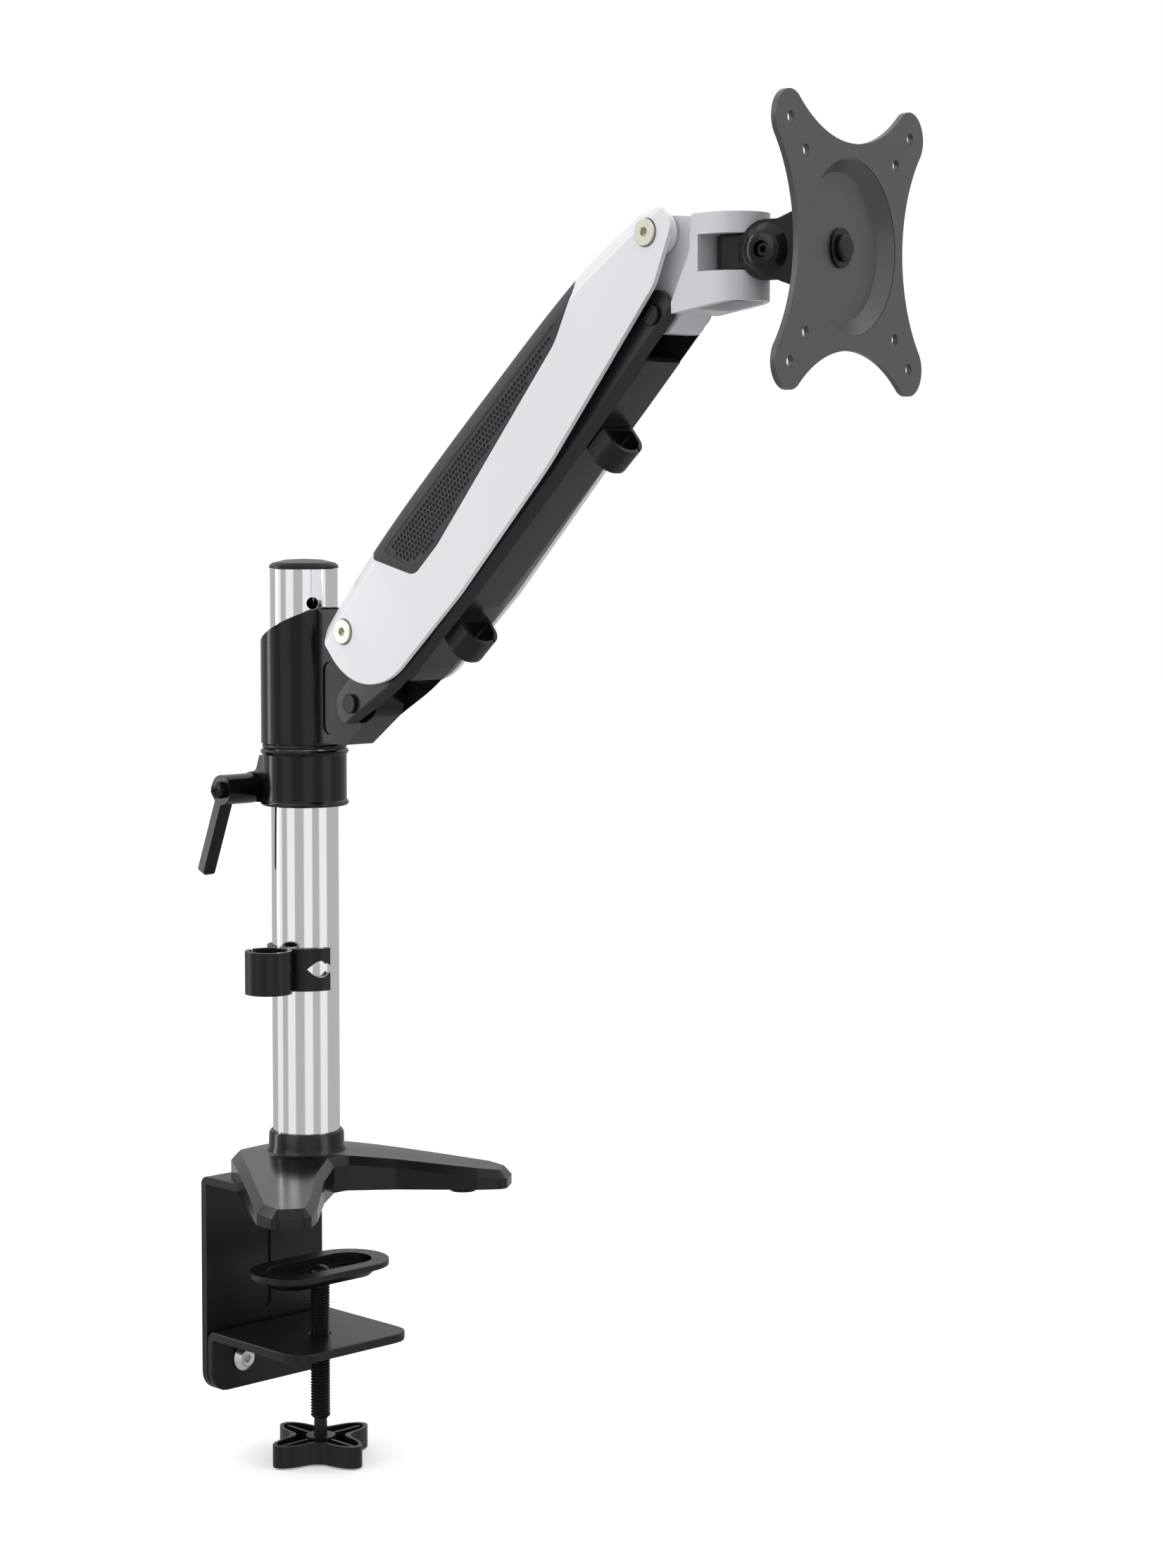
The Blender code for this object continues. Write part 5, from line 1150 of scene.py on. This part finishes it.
link_place = Matrix.Translation(SHOULDER + LINK_OFFSET) @ Matrix.Rotation(-ARM_LIFT, 4, "Y")
add_piece("link_channel", make_link(), DARK, "link", link_place, 0.0005, "lower_link")
for end, along, drop in (("pole", 0.077, -0.017), ("head", 0.208, -0.0137)):
    add_piece("link_clip_loop_" + end, make_link_clip(), PLASTIC, "link",
              link_place @ Matrix.Translation((along, 0, drop)),
              0.0003, "link_clip_" + end)
for end, along in (("pole", 0.0), ("head", ARM_LENGTH)):
    add_piece("link_rivet_" + end, make_link_pin(), BLACK, "link",
              link_place @ Matrix.Translation((along, 0, 0)), 0,
              "link_pin_" + end)

SPRING_LENGTH, SPRING_ANGLE = spring_aim()
spring_place = arm_place @ Matrix.Translation((SPRING_ALONG, 0, SPRING_DROP)) @ Matrix.Rotation(SPRING_ANGLE,
                                                                                                4, "Y")
add_piece("spring_tube", make_spring_body(), COATED, "arm", spring_place, 0.0003, "gas_spring_body")
add_piece("spring_piston_rod", make_spring_rod(SPRING_LENGTH), CHROME, "spring_rod", spring_place, 0.0002,
          "gas_spring_rod")

head_place = Matrix.Translation(HEAD_PIVOT)
add_piece("head_block", make_head(), PALE, "head", head_place, 0.0004, "head_casting")
swivel_place = head_place @ Matrix.Translation((HEAD_REACH, 0, 0))
add_piece("pin", make_swivel_pin(), COATED, "head", swivel_place, 0, "swivel_pin")
swivel_place = swivel_place @ Matrix.Rotation(HEAD_YAW, 4, "Z")
add_piece("tongue", make_tongue(), PLASTIC, "head_swivel", swivel_place, 0.0004, "swivel_tongue")
tilt_place = swivel_place @ Matrix.Translation((TILT_REACH, 0, WINDOW_CENTRE))
add_piece("yoke", make_yoke(), BLACK, "tilt_bracket", tilt_place, 0.0007, "tilt_yoke", 3)
add_piece("tilt_pin", make_tilt_bolt(), COATED, "tilt_bracket", tilt_place, 0.0002, "tilt_bolt")
plate_place = tilt_place @ Matrix.Translation((PLATE_REACH - TILT_REACH, 0, 0))
add_piece("screen_plate_piece", make_vesa_plate(), SATIN, "screen_plate", plate_place, 0.0005, "vesa_plate")
add_piece("spindle", make_spindle(), COATED, "screen_plate", plate_place, 0.0001, "vesa_spindle")
front_washer = moved(make_washer(0.0085, 0.0043, -DISH_DEPTH + 0.0003, -DISH_DEPTH + 0.0015),
                     turn=math.pi / 2, axis="Y")
add_piece("washer", front_washer, COATED, "screen_plate", plate_place, 0.0002, "vesa_washer")

# pieces that are carried straight from the CAD
CARRIED = {"flange_screw_left": ZINC, "flange_screw_right": ZINC, "pole_foot_screw": ZINC, "collar_bolt": ZINC,
           "swivel_bushing": NYLON, "tension_screw": ZINC, "spring_anchor_pin": ZINC, "arm_axle_pole": ZINC,
           "arm_axle_head": ZINC, "spring_pin": ZINC, "tilt_washer_near": NYLON, "tilt_washer_far": NYLON}
for node, (material, slot) in CARRIED.items():
    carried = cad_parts[node]
    carried.data.materials.clear()
    carried.data.materials.append(material)


# ---------------- studio
def add_light(name, place, target, size, power):
    light = bpy.data.lights.new(name, "AREA")
    light.shape = "RECTANGLE"
    light.size, light.size_y = size
    light.energy = power
    lamp = add_to_scene(name, light)
    lamp.location = place
    lamp.rotation_euler = (Vector(target) - Vector(place)).to_track_quat("-Z", "Y").to_euler()


floor_mesh = box((-6, -6, -0.01), (6, 6, 0))
floor = add_to_scene("floor", floor_mesh)
floor.location.z = cad_low[2] - 0.001
floor_paint = make_material("floor_paint", (0.92, 0.92, 0.92), 0.7, bump=0.02)
floor_shader = floor_paint.node_tree.nodes["Principled BSDF"]
floor_shader.inputs["Emission Color"].default_value = (1, 1, 1, 1)
floor_shader.inputs["Emission Strength"].default_value = 0.3
floor_mesh.materials.append(floor_paint)
# black parts reflect the studio's dark lower half, and white ones are lit by it, not by the bright floor
floor.visible_glossy = False
floor.visible_diffuse = False

# what glossy surfaces reflect at eye level: grey walls with four upright softboxes, by azimuth from +X
WALL_GREY = (0.5, 0.5, 0.5)
SOFTBOX_WHITE = (0.95, 0.95, 0.95)
SOFTBOX_AZIMUTHS = (-140, -90, -30, 25)
SOFTBOX_HALF = 12                              # degrees
SOFTBOX_EDGE = 4                               # degrees over which a softbox fades into the wall


def wall_stops():
    """Azimuth and colour of each stop round the walls."""
    stops = [(-180, WALL_GREY)]
    for azimuth in SOFTBOX_AZIMUTHS:
        outer = SOFTBOX_HALF + SOFTBOX_EDGE
        stops += [(azimuth - outer, WALL_GREY), (azimuth - SOFTBOX_HALF, SOFTBOX_WHITE),
                  (azimuth + SOFTBOX_HALF, SOFTBOX_WHITE), (azimuth + outer, WALL_GREY)]
    return stops + [(180, WALL_GREY)]


def make_studio():
    """White to the camera, even to matt surfaces, walls with softboxes to glossy ones."""
    world = bpy.data.worlds.new("studio")
    world.use_nodes = True
    nodes, links = world.node_tree.nodes, world.node_tree.links
    where = add_node(nodes, "TexCoord")
    axes = add_node(nodes, "SeparateXYZ")
    links.new(where.outputs["Generated"], axes.inputs["Vector"])
    azimuth = add_node(nodes, "Math")
    azimuth.operation = "ARCTAN2"
    links.new(axes.outputs["Y"], azimuth.inputs[0])
    links.new(axes.outputs["X"], azimuth.inputs[1])
    turn = add_node(nodes, "MapRange", From_Min=-math.pi, From_Max=math.pi)
    links.new(azimuth.outputs["Value"], turn.inputs["Value"])
    walls = add_node(nodes, "ValToRGB")
    planned = wall_stops()
    stops = walls.color_ramp.elements
    while len(stops) < len(planned):
        stops.new(0.5)
    for stop, (angle, colour) in zip(stops, planned):
        stop.position = (angle + 180) / 360
        stop.color = (*colour, 1.0)
    links.new(turn.outputs["Result"], walls.inputs["Fac"])

    def blend(low, high, first, second):
        """A mix from first to second as the direction's height goes from low to high."""
        rise = add_node(nodes, "MapRange", From_Min=low, From_Max=high)
        rise.interpolation_type = "SMOOTHSTEP"
        links.new(axes.outputs["Z"], rise.inputs["Value"])
        return mixed(rise.outputs["Result"], first, second)

    def mixed(factor, first, second):
        mix = add_node(nodes, "Mix")
        mix.data_type = "RGBA"
        links.new(factor, mix.inputs["Factor"])
        for socket, value in (("A_Color", first), ("B_Color", second)):
            target = next(item for item in mix.inputs if item.identifier == socket)
            if isinstance(value, tuple):
                target.default_value = (*value, 1.0)
            else:
                links.new(value, target)
        return next(item for item in mix.outputs if item.identifier == "Result_Color")

    ceiling = blend(0.18, 0.42, walls.outputs["Color"], (0.95, 0.96, 0.98))
    ceiling = blend(0.8, 0.95, ceiling, (0.45, 0.46, 0.48))
    room = blend(-0.45, -0.12, (0.46, 0.46, 0.47), ceiling)
    even = blend(-1.0, 1.0, (0.5, 0.5, 0.51), (0.9, 0.91, 0.93))
    path = add_node(nodes, "LightPath")
    seen = mixed(path.outputs["Is Glossy Ray"], even, room)
    seen = mixed(path.outputs["Is Camera Ray"], seen, (1.0, 1.0, 1.0))
    links.new(seen, nodes["Background"].inputs["Color"])
    return world


bpy.context.scene.world = make_studio()
middle = (0.13, 0.0, 0.18)
add_light("key", (0.1, -1.9, 1.3), middle, (1.4, 1.4), 6)
add_light("left_strip", (-1.5, -1.0, 0.7), middle, (0.35, 1.8), 7)
add_light("right_fill", (1.9, 0.6, 0.9), middle, (0.8, 1.6), 6)
add_light("top", (0.2, 0.2, 2.1), middle, (2.0, 2.0), 6)
bpy.context.scene.view_settings.view_transform = "Standard"

# ---------------- camera
CAMERA_ELEVATION = 3.55                        # degrees
CAMERA_AZIMUTH = 45.8                          # degrees
camera_data = bpy.data.cameras.new("camera")
camera = add_to_scene("camera", camera_data)
camera.location = (1.2485, -1.0288, 0.3451)
camera.rotation_euler = (math.radians(90 - CAMERA_ELEVATION), 0, math.radians(CAMERA_AZIMUTH))
camera_data.sensor_width = 36
camera_data.sensor_fit = "AUTO"
camera_data.lens = 73.53
camera_data.shift_x = 0.00874
camera_data.shift_y = -0.0495
camera_data.clip_start = 0.01
camera_data.clip_end = 30
bpy.context.scene.camera = camera
